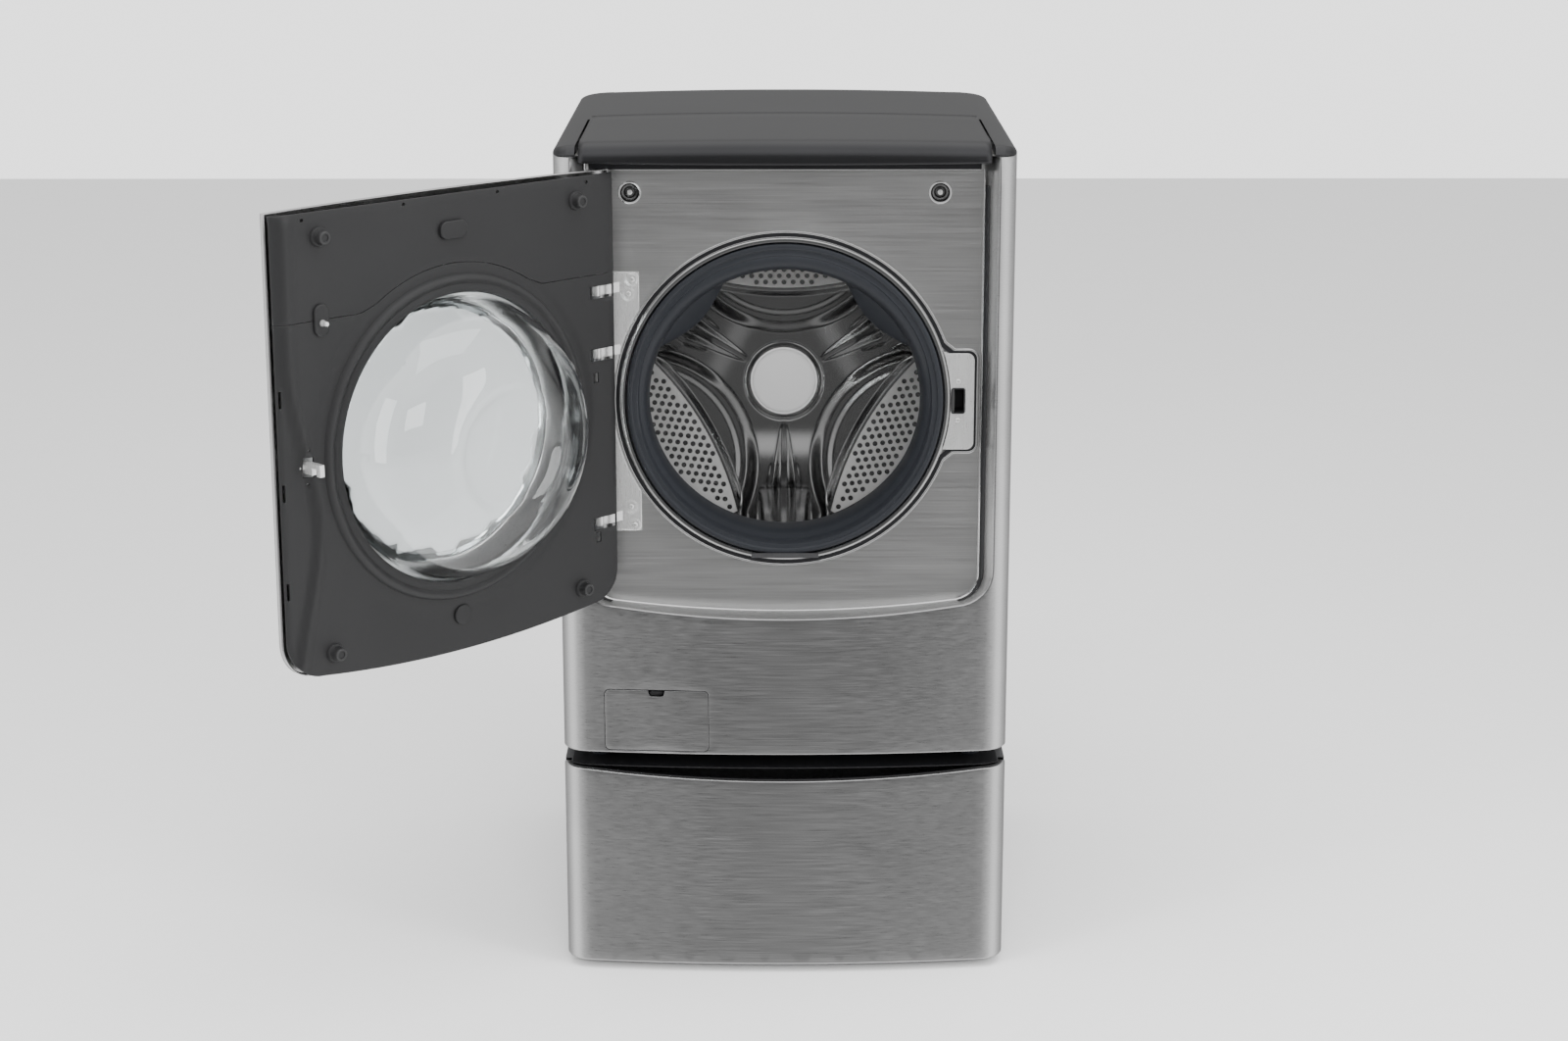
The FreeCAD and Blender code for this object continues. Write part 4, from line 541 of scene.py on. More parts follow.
# ---- front: columns, lower panel, recess ----
FACE_LINE = recess_outline(FRONT_HALF, 0, FRONT_TOP, 58)
BACK_LINE = recess_outline(RECESS_HALF, 0, FRONT_TOP, 45)


def front_skin():
    """One formed sheet: columns, lower panel and the flared walls of the recess, open where the flap is."""
    loop = [(skin_s(x), z) for x, z in FACE_LINE]
    targets = [(x, PANEL_Y, z) for x, z in BACK_LINE]
    first, last = loop[0][0], loop[-1][0]
    loop.append(((last + SKIN_HALF) / 2, FRONT_TOP))
    loop += [(SKIN_HALF, z) for z in np.linspace(FRONT_TOP, BASE, 20)]
    loop += [(s, BASE) for s in np.linspace(SKIN_HALF, -SKIN_HALF, 60)[1:-1]]
    loop += [(-SKIN_HALF, z) for z in np.linspace(BASE, FRONT_TOP, 20)]
    loop.append(((first - SKIN_HALF) / 2, FRONT_TOP))
    targets += [None] * (len(loop) - len(targets))
    low, high = size_of("filter_flap")
    play = 1.5
    hole = round_box(skin_s(low.x - play), skin_s(high.x + play), low.z - play, high.z + play, 9)
    skin = plate("front_skin", loop[::-1], [hole], skin_surface, roll=3.2, depth=9, spacing=14,
                 targets=targets[::-1], hole_roll=0.5, hole_depth=7, bends=5)
    piece(thick(skin, 1.6), "cabinet", "brushed_steel", ["front_frame"], angle=50)
    section = [(1.5, -4.5), (1.5, -1.2), (-1.2, -1.2), (-1.2, -4.5)]
    black(swept_loop("flap_shadow", hole, section, skin_surface), "black_plastic", 50)


def recess_trim():
    """Black bands that paint the shade on the recess's side walls, a black strip painting the shadow along
    its top with a line under it, and the bead along its floor.
    """
    # painted shade: black bands laid on the flared side walls of the recess
    for side in (-1, 1):
        rows = []
        for (fx, fz), (bx, bz), (nx, nz) in zip(FACE_LINE, BACK_LINE, inward(BACK_LINE + BACK_LINE[:1])):
            if bx * side >= RECESS_HALF - 42 and bz <= FRONT_TOP - 11:
                rows.append([(bx + (fx - bx) * t - nx * lift, PANEL_Y + (front_y(fx) - PANEL_Y) * t,
                              bz + (fz - bz) * t - nz * lift)
                             for t, lift in ((0.10, -0.6), (0.10, 1.0), (0.36, 1.0), (0.36, -0.6))])
        black(cleaned(rows_mesh("recess_wall_shade", rows, around=True)), "black_plastic", 60)
    wide = (6 - RECESS_HALF, RECESS_HALF - 6)
    shadow = block("recess_top", wide, (PANEL_Y - 1.4, PANEL_Y + 0.4), (TOP - 23, TOP - 12))
    black(bevelled(shadow, 0.5), "black_plastic")
    line = block("recess_line", wide, (PANEL_Y - 2.0, PANEL_Y + 0.4), (TOP - 24.8, TOP - 23))
    piece(bevelled(line, 0.6), "cabinet", "chrome_trim")
    section = [(2.6, -1.0), (1.6, -2.6), (0.4, -3.6), (-0.6, -3.2), (-0.2, -1.6), (0.0, -0.4)]
    path = recess_outline(RECESS_HALF - 1.5, 1.5, FRONT_TOP - 12, 44)
    rows = [[(x - nx * (2.2 - a), PANEL_Y + b, z - nz * (2.2 - a)) for a, b in section]
            for (x, z), (nx, nz) in zip(path, inward(path + path[:1]))]
    piece(cleaned(rows_mesh("recess_bead", rows, around=True)), "cabinet", "chrome_trim", angle=60)


def flap():
    """The service flap, with a finger notch at the middle of its upper edge."""
    low, high = size_of("filter_flap")
    middle = (low.x + high.x) / 2
    corners = [(skin_s(x), z) for x, z in round_box(low.x, high.x, low.z, high.z, 8)]
    first, last = skin_s(middle + 14), skin_s(middle - 14)
    notch = [(0, 0), (2, 8), (5, 10)]
    loop = []
    for a, b in zip(corners, corners[1:] + corners[:1]):
        loop.append(a)
        if min(a[1], b[1]) > high.z - 0.01 and a[0] > first and b[0] < last:
            loop += [(first - along, high.z - deep) for along, deep in notch]
            loop += [(last + along, high.z - deep) for along, deep in notch[::-1]]
    cover = plate("flap_cover", loop, [], skin_surface, roll=0.5, depth=5, spacing=9)
    piece(thick(cover, 1.5), "flap", "flap_steel", ["filter_flap"], angle=50)
    rows = [[(middle + x, front_y(middle) + 6 - 3 * math.cos(x / 9), high.z - 10 + z)
             for x in np.linspace(-12, 12, 13)] for z in (0.5, 4, 8.5)]
    grip = cleaned(rows_mesh("flap_grip", rows), closed=False)
    piece(thick(grip, 1.2), "flap", "black_plastic")


def drawer_front():
    """Drawer face with a dipped top edge, its black grip lip, and a black sheet in the gap under the washer
    that paints the shade there.
    """
    low, high = size_of("drawer_front")
    dip = 16.0
    radius = (EDGE ** 2 + dip ** 2) / (2 * dip)

    def top_z(s):
        x = min(abs(skin_surface(s, 0, 0)[0]), EDGE)
        return high.z - dip + radius - math.sqrt(radius ** 2 - x * x)
    across = np.linspace(-SKIN_HALF, SKIN_HALF, 70)
    loop = [(s, low.z) for s in across]
    loop += [(SKIN_HALF, z) for z in np.linspace(low.z, high.z, 9)[1:-1]]
    loop += [(s, top_z(s)) for s in across[::-1]]
    loop += [(-SKIN_HALF, z) for z in np.linspace(high.z, low.z, 9)[1:-1]]
    face = plate("drawer_face", loop, [], skin_surface, roll=3.0, depth=14, spacing=14)
    piece(thick(face, 1.6), "drawer", "brushed_steel", ["drawer_front"], angle=50)
    half = HALF - 14
    # painted shade: a black sheet across the gap between washer and pedestal
    plan = [(x, front_y(x) + 9) for x in np.linspace(-half, half, 40)] + [(half, -200), (-half, -200)]
    gap_shade = prism("pedestal_gap_shade", plan, BASE - 25.9, BASE - 24.6)
    black(bevelled(gap_shade, 0.4), "black_plastic")
    section = [(5.0, -1.0), (5.5, 1.0), (7.0, 1.8), (9.5, 1.8), (11.0, 0.6), (11.0, -3.0), (7.0, -3.0)]
    lip = [[skin_surface(s, top_z(s) + up, behind) for behind, up in section] for s in across[1:-1]]
    piece(cleaned(rows_mesh("drawer_lip", lip, around=True)), "drawer", "black_plastic", angle=60)


# ---- inner front panel and the loading mouth ----
def key_outline(grow, steps=96):
    """Circle of the mouth joined to the latch area on its right."""
    radius = 275.0 + grow
    right, low, high, corner = 311.0 + grow, MOUTH_Z - 86 - grow, MOUTH_Z + 83 + grow, 14.0 + grow
    below = math.degrees(math.asin((low - MOUTH_Z) / radius))
    above = math.degrees(math.asin((high - MOUTH_Z) / radius))
    start, end = (radius * math.cos(math.radians(angle)) + 12.0 for angle in (below, above))
    return (arc(0, MOUTH_Z, radius, above + 3, 360 + below - 3, steps) + [(start, low)]
            + arc(right - corner, low + corner, corner, 270, 360, 6)
            + arc(right - corner, high - corner, corner, 0, 90, 6) + [(end, high)])


def inner_panel():
    """The recess's flat sheet with its mouth, latch slot and cups, and the trim round the mouth, with a black
    band that paints the shadow in the step round the mouth.
    """
    half = HALF - 12
    low, high = BASE + 186, TOP - 12
    holes = [circle(0, MOUTH_Z, MOUTH_R, 144), round_box(270.5, 289.5, MOUTH_Z - 19.5, MOUTH_Z + 19.5, 2)]
    holes += [circle(x, CUP_Z, 15.5, 32) for x in (-CUP_X, CUP_X)]
    sheet = plate("inner_panel", [(-half, low), (half, low), (half, high), (-half, high)], holes, in_panel,
                  roll=0.8, depth=1.6, spacing=60)
    piece(thick(sheet, 1.0), "cabinet", "brushed_steel", ["inner_front_panel"], material="panel_steel")
    rim = [(18.6, 0.2), (18.1, -1.2), (16.8, -1.8), (15.2, -1.2), (14.4, 1.2), (15.4, 1.2), (15.4, 0.4)]
    cup = [(14.6, 0.8), (13.8, 3.4), (12.0, 5.2), (9.6, 6.0), (8.0, 5.2), (6.6, 4.2), (5.6, 3.8), (0.01, 3.8),
           (0.01, 6.8), (15.4, 6.8), (15.4, 0.8)]
    for name, profile, look in (("bumper_cups", cup, "cup_dark"), ("bumper_cup_rims", rim, "chrome_trim")):
        both = [lathe("cup", profile, facing(x, PANEL_Y, CUP_Z), 56) for x in (-CUP_X, CUP_X)]
        piece(joined(name, both), "cabinet", "chrome_trim", material=look, angle=40)
    section = [(2.2, -0.6), (2.6, 0.9), (1.4, 2.4), (-0.4, 2.6), (-1.6, 1.4), (-1.8, -0.6)]
    piece(swept_loop("mouth_bead", key_outline(0), section, in_panel), "cabinet", "chrome_trim", angle=60)
    # painted shadow: black band over the step round the mouth
    section = [(3.6, -0.4), (3.6, 0.9), (0, 1.1), (-3.8, 0.9), (-3.8, -0.4)]
    black(swept_loop("mouth_shadow_band", key_outline(-5.0), section, in_panel), "rubber")


def opening():
    """Bright ring round the mouth; heights are measured from the panel."""
    profile = [(258, -1.4), (258.4, -3.6), (259.6, -5.0), (262.5, -5.4), (265.2, -5.0), (266.4, -3.8),
               (266.8, -1.2), (268.0, -0.6), (271.4, -0.6), (274.6, -0.6), (274.8, -0.1), (269.8, -0.1),
               (269.8, 1.2), (258, 1.2)]
    ring = lathe("opening_trim", [(radius, PANEL_Y + height) for radius, height in profile], MOUTH, 180)
    piece(ring, "cabinet", "chrome_trim", ["opening_ring"], angle=40)


# Gasket section: radius, y, and how far it has taken up the tub's tilt.
GASKET_RIM = [(256.6, -366, 0), (255.6, -369.6, 0), (253, -371.2, 0), (249.6, -371.4, 0), (247, -370, 0),
              (246, -367.4, 0), (244.2, -366.8, 0), (240.6, -366.8, 0), (238, -365.2, 0.1), (237, -361, 0.2),
              (235.2, -359, 0.3), (230.6, -356, 0.4), (226, -349, 0.6), (222.8, -338, 0.8), (221.8, -324, 1),
              (220.8, -317, 1), (221.2, -312, 1)]
GASKET_BACK = [(226, -306, 1), (236, -302, 1), (245, -298, 1), (249, -291, 1), (251.5, -286, 1),
               (251.5, -300, 1), (250, -318, 0.8), (249, -336, 0.4), (251, -350, 0), (256.2, -360, 0)]
LIP_R = 221.4
WEB_REACH, WEB_SPAN = 30.0, 20.0


def gasket():
    """Bellows with a stepped front lip, and two webs that draw its inner lip in at ten and two o'clock."""
    steps = 216
    rows = []
    for station in range(steps):
        turn = 360.0 * station / steps
        away = min(abs((turn - centre + 180) % 360 - 180) for centre in (43.5, 136.5))
        web = WEB_REACH * max(0.0, 1 - (away / WEB_SPAN) ** 2)
        lip = [(LIP_R - web * draw, y + web * back, 1) for y, draw, back in (
            (-310.6, 0.9, 0.75), (-309.0, 1.0, 0.9), (-306.6, 0.9, 0.75))]
        across, up = math.cos(math.radians(turn)), math.sin(math.radians(turn))
        row = []
        for radius, y, tilt in GASKET_RIM + lip + GASKET_BACK:
            flat = Vector((radius * across, y, MOUTH_Z + radius * up))
            leaning = Vector((radius * across, y - radius * up * math.sin(TILT),
                              MOUTH_Z - (y - PANEL_Y) * math.tan(TILT) + radius * up * math.cos(TILT)))
            row.append(flat.lerp(leaning, tilt))
        rows.append(row)
    rows.append(rows[0])
    seal = cleaned(rows_mesh("door_seal", rows, around=True))
    smooth(seal, 42)
    seal.data.materials.append(MATERIALS["rubber"])
    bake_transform(seal)
    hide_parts("door_gasket")


def latch_plate():
    """Stainless plate right of the mouth, with a dark rim in its slot."""
    right, low, high, corner = 306.0, MOUTH_Z - 81, MOUTH_Z + 78, 12
    outline = (arc(0, MOUTH_Z, 268.5, -17.5, 17.5, 12)[::-1] + [(264, low)]
               + arc(right - corner, low + corner, corner, 270, 360, 6)
               + arc(right - corner, high - corner, corner, 0, 90, 6) + [(264, high)])
    slot = round_box(270.5, 289.5, MOUTH_Z - 19.5, MOUTH_Z + 19.5, 2.5)

    def face(x, z, d):
        return (x, PLATE_Y + d, z)
    sheet = plate("latch_cover", outline, [slot], face, roll=1.2, depth=3.6)
    piece(thick(sheet, 0.8), "cabinet", "stainless", ["latch_plate"])
    rim = swept_loop("latch_rim", round_box(269.8, 290.2, MOUTH_Z - 20.2, MOUTH_Z + 20.2, 3.0),
                     [(1.4, 0.1), (1.2, 1.0), (0.2, 1.5), (-0.8, 1.0), (-0.8, -6), (0, -6)], face)
    black(rim, "charcoal_plastic", 50)


def screw(x, z, y, radius):
    """Pan head with a cross recess, facing the front."""
    dome = [(0.01, -2.6), (radius * 0.5, -2.4), (radius * 0.85, -1.6), (radius, -0.5), (radius, 0.6),
            (0.01, 0.6)]
    head = lathe("screw", dome, facing(x, y, z), 28)
    arm, wide = radius * 0.62, radius * 0.14
    bars = [block("bar", (x - a, x + a), (y - 4, y - 1.2), (z - b, z + b))
            for a, b in ((arm, wide), (wide, arm))]
    return carved(head, *bars)


def screws():
    heads = [screw(x, CUP_Z, PANEL_Y + 3.4, 4.4) for x in (-CUP_X, CUP_X)]
    heads += [screw(280, MOUTH_Z + rise, PLATE_Y - 0.2, 4.0) for rise in (32, -32)]
    heads += [screw(x, z, PLATE_Y, 4.6) for x, z in HINGE_SCREWS]
    piece(joined("screw_heads", heads), "cabinet", "stainless", ["panel_screws"], angle=40)


def hinge_side():
    """Fixed hinge plate with embossed screw tabs; its arms are the CAD node's."""
    left, right, corner = -RECESS_HALF + 4, -RECESS_HALF + 84, 8
    low, high = MOUTH_Z - 217, MOUTH_Z + 211
    radius = 278.5
    turn = math.degrees(math.acos(-right / radius))
    outline = ([(left, z) for z in np.linspace(high, low, 20)]
               + arc(right - corner, low + corner, corner, 270, 360, 4)
               + arc(0, MOUTH_Z, radius, 180 - turn, 180 + turn, 30)[::-1]
               + arc(right - corner, high - corner, corner, 0, 90, 4))

    def face(x, z, d):
        near = min(math.hypot(x - sx, z - sz) for sx, sz in HINGE_SCREWS)
        raised = 1.6 * min(1.0, max(0.0, (11.0 - near) / 2.0))
        return (x, PANEL_Y - 3.5 - raised + d, z)
    sheet = plate("hinge_sheet", outline, [], face, roll=1.0, depth=2.9, spacing=3.0)
    piece(thick(sheet, 0.8), "cabinet", "stainless", angle=50)


# ---- drum ----
# Circles that bound a lens plate and a hollow: distance of the centre from the drum's axis, and radius.
LENS = (717.0, 553.0)
HOLLOW = (291.0, 206.0)
LENS_REACH = 255.0


def step(low, high, value):
    t = min(1.0, max(0.0, (value - low) / (high - low)))
    return t * t * (3 - 2 * t)


def drum_height(x, y):
    """How far the drum's back stands forward at (x, y), in the drum's plane, y towards the bottom lifter."""
    angle = math.atan2(x, y)
    radius = math.hypot(x, y)
    sector = (angle + math.pi / 3) % (2 * math.pi / 3) - math.pi / 3
    along, across = radius * math.cos(sector), abs(radius * math.sin(sector))
    away = math.pi / 3 - abs(sector)
    xi, eta = radius * math.cos(away), radius * math.sin(away)
    hollow = HOLLOW[1] - math.hypot(xi - HOLLOW[0], eta)
    lens = LENS[1] - math.hypot(xi - LENS[0], eta)
    out = min(1.0, max(0.0, (along - 76) / 110))
    hub = 11.0 + 11.0 * step(78, 150, along)
    wide = 9.0 + 19.0 * out
    trough = (1.5 + 8.5 * out) * (1 - step(0.15, 1.0, across / wide)) * step(66, 90, along)
    crease = 3.6 * max(0.0, 1 - abs(across - wide) / 2.8) * step(134, 168, along)
    height = hub - trough - crease
    height -= 4.0 * (1 - step(63, 74, radius))
    floor = 1.5 + 3.5 * (1 - step(30, 42, hollow))
    height = height + (floor - height) * step(-3, 24, hollow)
    height = height + (13.0 - height) * step(-14, -3, lens)
    if radius > 262:
        height = height + (2.0 - height) * step(262, 280, radius)
    return height


def drum_back():
    """The pressed star of the drum's back."""
    steps = 360
    turns = [2 * math.pi * i / steps for i in range(steps)]
    rows = []
    for radius in [60.0 + 2.4 * i for i in range(96)] + [289.0]:
        ring = [(radius * math.sin(turn), radius * math.cos(turn)) for turn in turns]
        rows.append([(x, y, DRUM_BACK - drum_height(x, y)) for x, y in ring])
    star = cleaned(rows_mesh("drum_star", rows, TUB, around=True), closed=False)
    piece(thick(star, 1.5), "drum", "drum_steel", ["drum_back"], angle=60)


def drum_lenses():
    """Three perforated lens plates in the star, each with a dark sheet behind its holes."""
    reach = math.acos((LENS[0] ** 2 + LENS_REACH ** 2 - LENS[1] ** 2) / (2 * LENS[0] * LENS_REACH))
    half = math.asin(LENS_REACH * math.sin(reach) / LENS[1]) * 0.95
    shy = reach - math.radians(2.5)
    outline = [(LENS_REACH * math.cos(a), LENS_REACH * math.sin(a)) for a in np.linspace(-shy, shy, 34)]
    outline += [(LENS[0] - LENS[1] * math.cos(a) + 1.5, LENS[1] * math.sin(a))
                for a in np.linspace(half, -half, 34)]
    pitch = 16.4
    spots = [(176.0 + row * 11.0, (k + 0.5 * (row % 2)) * pitch) for row in range(9) for k in range(-9, 10)]
    holes = [circle(xi, eta, 4.5, 12) for xi, eta in spots
             if LENS[1] - math.hypot(xi - LENS[0], eta) > 9.5 and math.hypot(xi, eta) < LENS_REACH - 8]
    inset = [(a + n[0] * 3, b + n[1] * 3) for (a, b), n in zip(outline, inward(outline))]
    lenses, backs = [], []
    for turn in (60, 180, 300):
        ux, uy = math.sin(math.radians(turn)), math.cos(math.radians(turn))

        def face(xi, eta, d, ux=ux, uy=uy):
            return (xi * ux + eta * uy, xi * uy - eta * ux, DRUM_BACK - 15.5 + d)

        def shadow(xi, eta, d, face=face):
            return face(xi, eta, d + 1.3)
        lenses.append(plate("lens", outline, holes, face, roll=2.6, depth=6, hole_roll=0.9, hole_depth=2.4,
                            matrix=TUB, bends=3))
        backs.append(plate("lens_back", inset, [], shadow, roll=0.2, depth=0.4, matrix=TUB, bends=1))
    piece(thick(joined("drum_lenses", lenses), 0.8), "drum", "drum_steel", material="lens_steel", angle=50)
    piece(thick(joined("lens_shadow", backs), 0.4), "drum", "drum_steel", material="painted_shade_black", angle=50)


def drum_wall():
    """Perforated wall, clear of holes under the lifters, and the rolled mouth in front of it."""
    def wall(u, v, d):
        return (-(DRUM_R + d) * math.sin(u / DRUM_R), (DRUM_R + d) * math.cos(u / DRUM_R), v)
    around = 2 * math.pi * DRUM_R
    count = 72
    pitch = around / count
    lifters = [around * third / 3 for third in range(4)]
    holes = []
    for row in range(14):
        for k in range(count):
            u = (k + 0.5 + 0.5 * (row % 2)) * pitch
            if 5 < u < around - 5 and min(abs(u - lifter) for lifter in lifters) > 75:
                holes.append(circle(u, 78 + row * 24.0, 2.8, 8))
    front, back = 44, DRUM_BACK + 8
    us = [around * i / 120 for i in range(121)]
    outline = [(u, front) for u in us] + [(u, back) for u in us[::-1]]
    body = plate("drum_wall", outline, holes, wall, roll=0.2, depth=1.0, hole_roll=0.6, hole_depth=1.6,
                 spacing=24, matrix=TUB, bends=2)
    piece(thick(body, 0.8, 1.0), "drum", "drum_steel", ["drum_shell"], angle=50)
    mouth = lathe("drum_mouth", [(291, 44), (289, 40), (284, 36), (268, 30.5), (252, 27.4), (244, 26.6),
                                 (240, 27.4), (238, 30), (238.4, 33.5), (240.5, 34.4), (242, 33), (243, 30.6),
                                 (252, 30.6), (268, 33.6), (283, 39), (288, 43)], TUB, 180)
    piece(mouth, "drum", "drum_steel", angle=50)


def drum_hub():
    cap = lathe("drum_hub_cap", [(0.01, 433.6), (30, 434.0), (50, 435.2), (54.5, 436.2), (56, 437.4),
                                 (56.8, 439.6), (58.2, 440.4), (59.6, 438.6), (61.2, 438.2), (62.6, 439.6),
                                 (63.4, 443), (64, 448), (0.01, 448)], TUB, 96)
    piece(cap, "drum", "chrome_trim", ["drum_cap"], material="cap_satin", angle=40)
    collar = lathe("drum_hub_ring", [(58.6, 440.6), (59.6, 438.2), (61.4, 437.4), (63.2, 438), (64.8, 440.6),
                                     (66.5, 445), (70, 447.5), (70, 449.5), (58.6, 449.5)], TUB, 96)
    piece(collar, "drum", "drum_steel", angle=50)


def drum_lifters():
    """Three lifters with a dished back, rounded shoulders and a flared foot."""
    front, back = 72, 426
    lifters = []
    for third in range(3):
        rows = []
        for w in (72, 73, 76, 82, 110, 150, 190, 230, 270, 310, 350, 390, 418, 424, 426):
            end = min(w - front, back - w)
            pull = 5.0 * (1 - step(0, 10, end))
            dish = 2.4 * step(10, 60, end)
            half, top = 48.0 - pull, 190.0 + pull + 30.0 * max(0.0, 400 - w) / 328
            side = [(half * 0.55, top + dish * 0.4), (half - 8, top), (half - 2.4, top + 2.4),
                    (half, top + 8), (half, 246), (half + 1, 258), (57 - pull, 272), (64 - pull, 282)]
            row = [(-x, y) for x, y in side[::-1]] + [(0, top + dish)] + side
            rows.append([(x, y, w) for x, y in row + [(30, 287), (0, 288.2), (-30, 287)]])
        turned = TUB @ Matrix.Rotation(math.radians(120 * third), 4, "Z")
        body = rows_mesh("lifter", rows, turned, around=True)
        lifters.append(cleaned(edited(body, lambda work: bmesh.ops.holes_fill(work, edges=work.edges))))
    piece(joined("lifter_bodies", lifters), "drum", "lifter_plastic", ["drum_lifters"], angle=50)


# ---- door, shaped shut and swung to the open rest pose ----
def door_outline(inset):
    return recess_outline(DOOR_HALF - inset, DOOR_GAP + inset, DOOR_TOP - inset, 60 - inset * 0.5, 10)


def pane_crown(radius):
    return 2.4 * max(0.0, 1 - (radius / PANE_R) ** 2)


def door_skin():
    """Bowed outer panel with its round window and bright window trim."""
    loop = door_outline(0) + [(x, DOOR_TOP) for x in np.linspace(DOOR_HALF, -DOOR_HALF, 40)[1:-1]]
    outer = plate("door_skin", loop, [circle(0, MOUTH_Z, PANE_R + 1, 120)], door_face, roll=3.4, depth=11,
                  spacing=16, hole_roll=1.2, hole_depth=5, matrix=SWING, bends=5)
    piece(thick(outer, 1.6), "door", "brushed_steel", ["door_outer_panel"], angle=50)

    def pane(x, z, d):
        return door_face(x, z, d - pane_crown(math.hypot(x, z - MOUTH_Z)))
    window = plate("door_glass", circle(0, MOUTH_Z, PANE_R + 0.2, 120), [], pane, roll=1.4, depth=4.6,
                   spacing=20, matrix=SWING)
    piece(thick(window, 4.0), "door", "clear_glass", ["door_window"], material="tinted_glass", angle=50)
    section = ((205.6, -0.6), (205, 1.4), (202, 2.6), (197.5, 2.8), (193, 2), (191.6, 0.2), (192, -0.8))
    rows = [[pane(x, z, -lift) for x, z in circle(0, MOUTH_Z, radius, 144)] for radius, lift in section]
    rows.append(rows[0])
    piece(cleaned(rows_mesh("window_trim", rows, SWING, around=True)), "door", "chrome_trim", angle=50)


def cover_height(x, z):
    """Relief of the inner cover, positive towards the washer when the door is shut."""
    edge_x = DOOR_HALF - 3 - abs(x)
    height = -2.5 * (1 - step(0, 7, edge_x)) - 2.0 * (1 - step(0, 6, DOOR_TOP - 3 - z))
    ridge = 309.0 - 44.0 * step(0, 1, 1 - abs(z - 880.0) / 250.0)
    height -= 7.0 * step(0, 11, x - ridge)
    height += 2.0 * math.exp(-((x - ridge + 5) / 5.0) ** 2)
    radius = math.hypot(x, z - MOUTH_Z)
    height += 2.6 * (1 - step(262, 276, radius))
    return height


def cover_face(x, z, d):
    return (x, DOOR_BACK + cover_height(x, z) - d, z)


def door_covers():
    """Inner cover in two parts, split along a seam that rises over the bowl ring."""
    hump, gap, inset = 270.0, 0.35, 3.4
    half, top = DOOR_HALF - inset, DOOR_TOP - inset
    rise = SEAM - MOUTH_Z
    meet = math.degrees(math.asin(rise / hump)) + 4
    foot = math.sqrt(hump ** 2 - rise ** 2) + 14

    def over(radius):
        return arc(0, MOUTH_Z, radius, 180 - meet, meet, 48)
    upper = ([(half, z) for z in np.linspace(SEAM + gap, top, 16)]
             + [(x, top) for x in np.linspace(half, -half, 40)[1:-1]]
             + [(-half, z) for z in np.linspace(top, SEAM + gap, 16)]
             + [(x, SEAM + gap) for x in np.linspace(-half, -foot, 8)[1:]] + over(hump + gap)
             + [(x, SEAM + gap) for x in np.linspace(foot, half, 8)[:-1]])
    lower = ([p for p in door_outline(inset) if p[1] < SEAM - 8] + [(half, z) for z in (SEAM - 6, SEAM - gap)]
             + [(x, SEAM - gap) for x in np.linspace(half, foot, 8)[1:]] + over(hump - gap)[::-1]
             + [(x, SEAM - gap) for x in np.linspace(-foot, -half, 8)] + [(-half, SEAM - 6)])
    vents = [circle(x, 1344 - 6 * abs(x) / 300, 2.6, 14) for x in (-270, -90, 90, 275)]
    holes = [circle(0, MOUTH_Z, 234, 120)]
    holes += [round_box(6 - DOOR_HALF, 44 - RECESS_HALF, MOUTH_Z + level - 10, MOUTH_Z + level + 10, 1.5)
              for level in ARM_LEVELS]
    holes += [round_box(-289, -279, MOUTH_Z + level - 8, MOUTH_Z + level + 8, 1) for level in (50, -213)]
    holes += [round_box(319, 323, z - 13, z + 13, 1) for z in (790, 940, 1080)]
    holes += [round_box(272.5, 287.5, MOUTH_Z - 15, MOUTH_Z + 15, 1.5)]
    holes += [circle(280, MOUTH_Z + level, 1.8, 12) for level in (26, -26)]
    for part, loop, cuts in (("upper", upper, vents), ("lower", lower, holes)):
        sheet = plate("cover_" + part, loop, cuts, cover_face, roll=0.7, depth=3, spacing=7, matrix=SWING)
        piece(thick(flipped(sheet), 1.4), "door", "charcoal_plastic", ["door_inner_" + part], angle=50)


def door_ring():
    """Ring round the bowl, and the hollow glass bowl; heights are measured from the inner cover."""
    shut = SWING @ facing(0, DOOR_BACK, MOUTH_Z)
    ring = [(224.5, -3), (224.5, 6.5), (225.4, 8.6), (227.5, 9.6), (231, 9.8), (236, 9), (238, 8), (240, 8.6),
            (243, 10.4), (246.5, 10.6), (249.5, 9.6), (252.5, 6), (254.5, 2), (255, -1), (232, -1), (232, -3)]
    piece(lathe("bowl_surround", ring, shut, 180), "door", "charcoal_plastic", ["bowl_ring"], angle=40)
    outer = [(240, -4.2), (231, -4.0), (226.0, -2.0), (222.0, 3.0), (219.2, 9), (216.4, 20), (212.0, 36),
             (207.0, 52), (201.0, 68), (194.0, 82), (185.0, 93), (173.0, 103), (158, 112.5), (142, 120.5),
             (128, 126), (116, 129.6), (105, 131.4), (97, 131.0), (90, 128.4), (81, 126.6), (60, 126),
             (30, 125.8), (0.01, 125.6)]
    wall = 4.6
    inner = [(r + n[0] * wall, h + n[1] * wall) for (r, h), n in zip(outer, inward(outer))][1:-1]
    profile = outer + [(0.01, outer[-1][1] - wall)] + inner[::-1] + [(240, outer[0][1] - wall)]
    piece(lathe("bowl_glass", profile, shut, 180), "door", "clear_glass", ["glass_bowl"], angle=60)


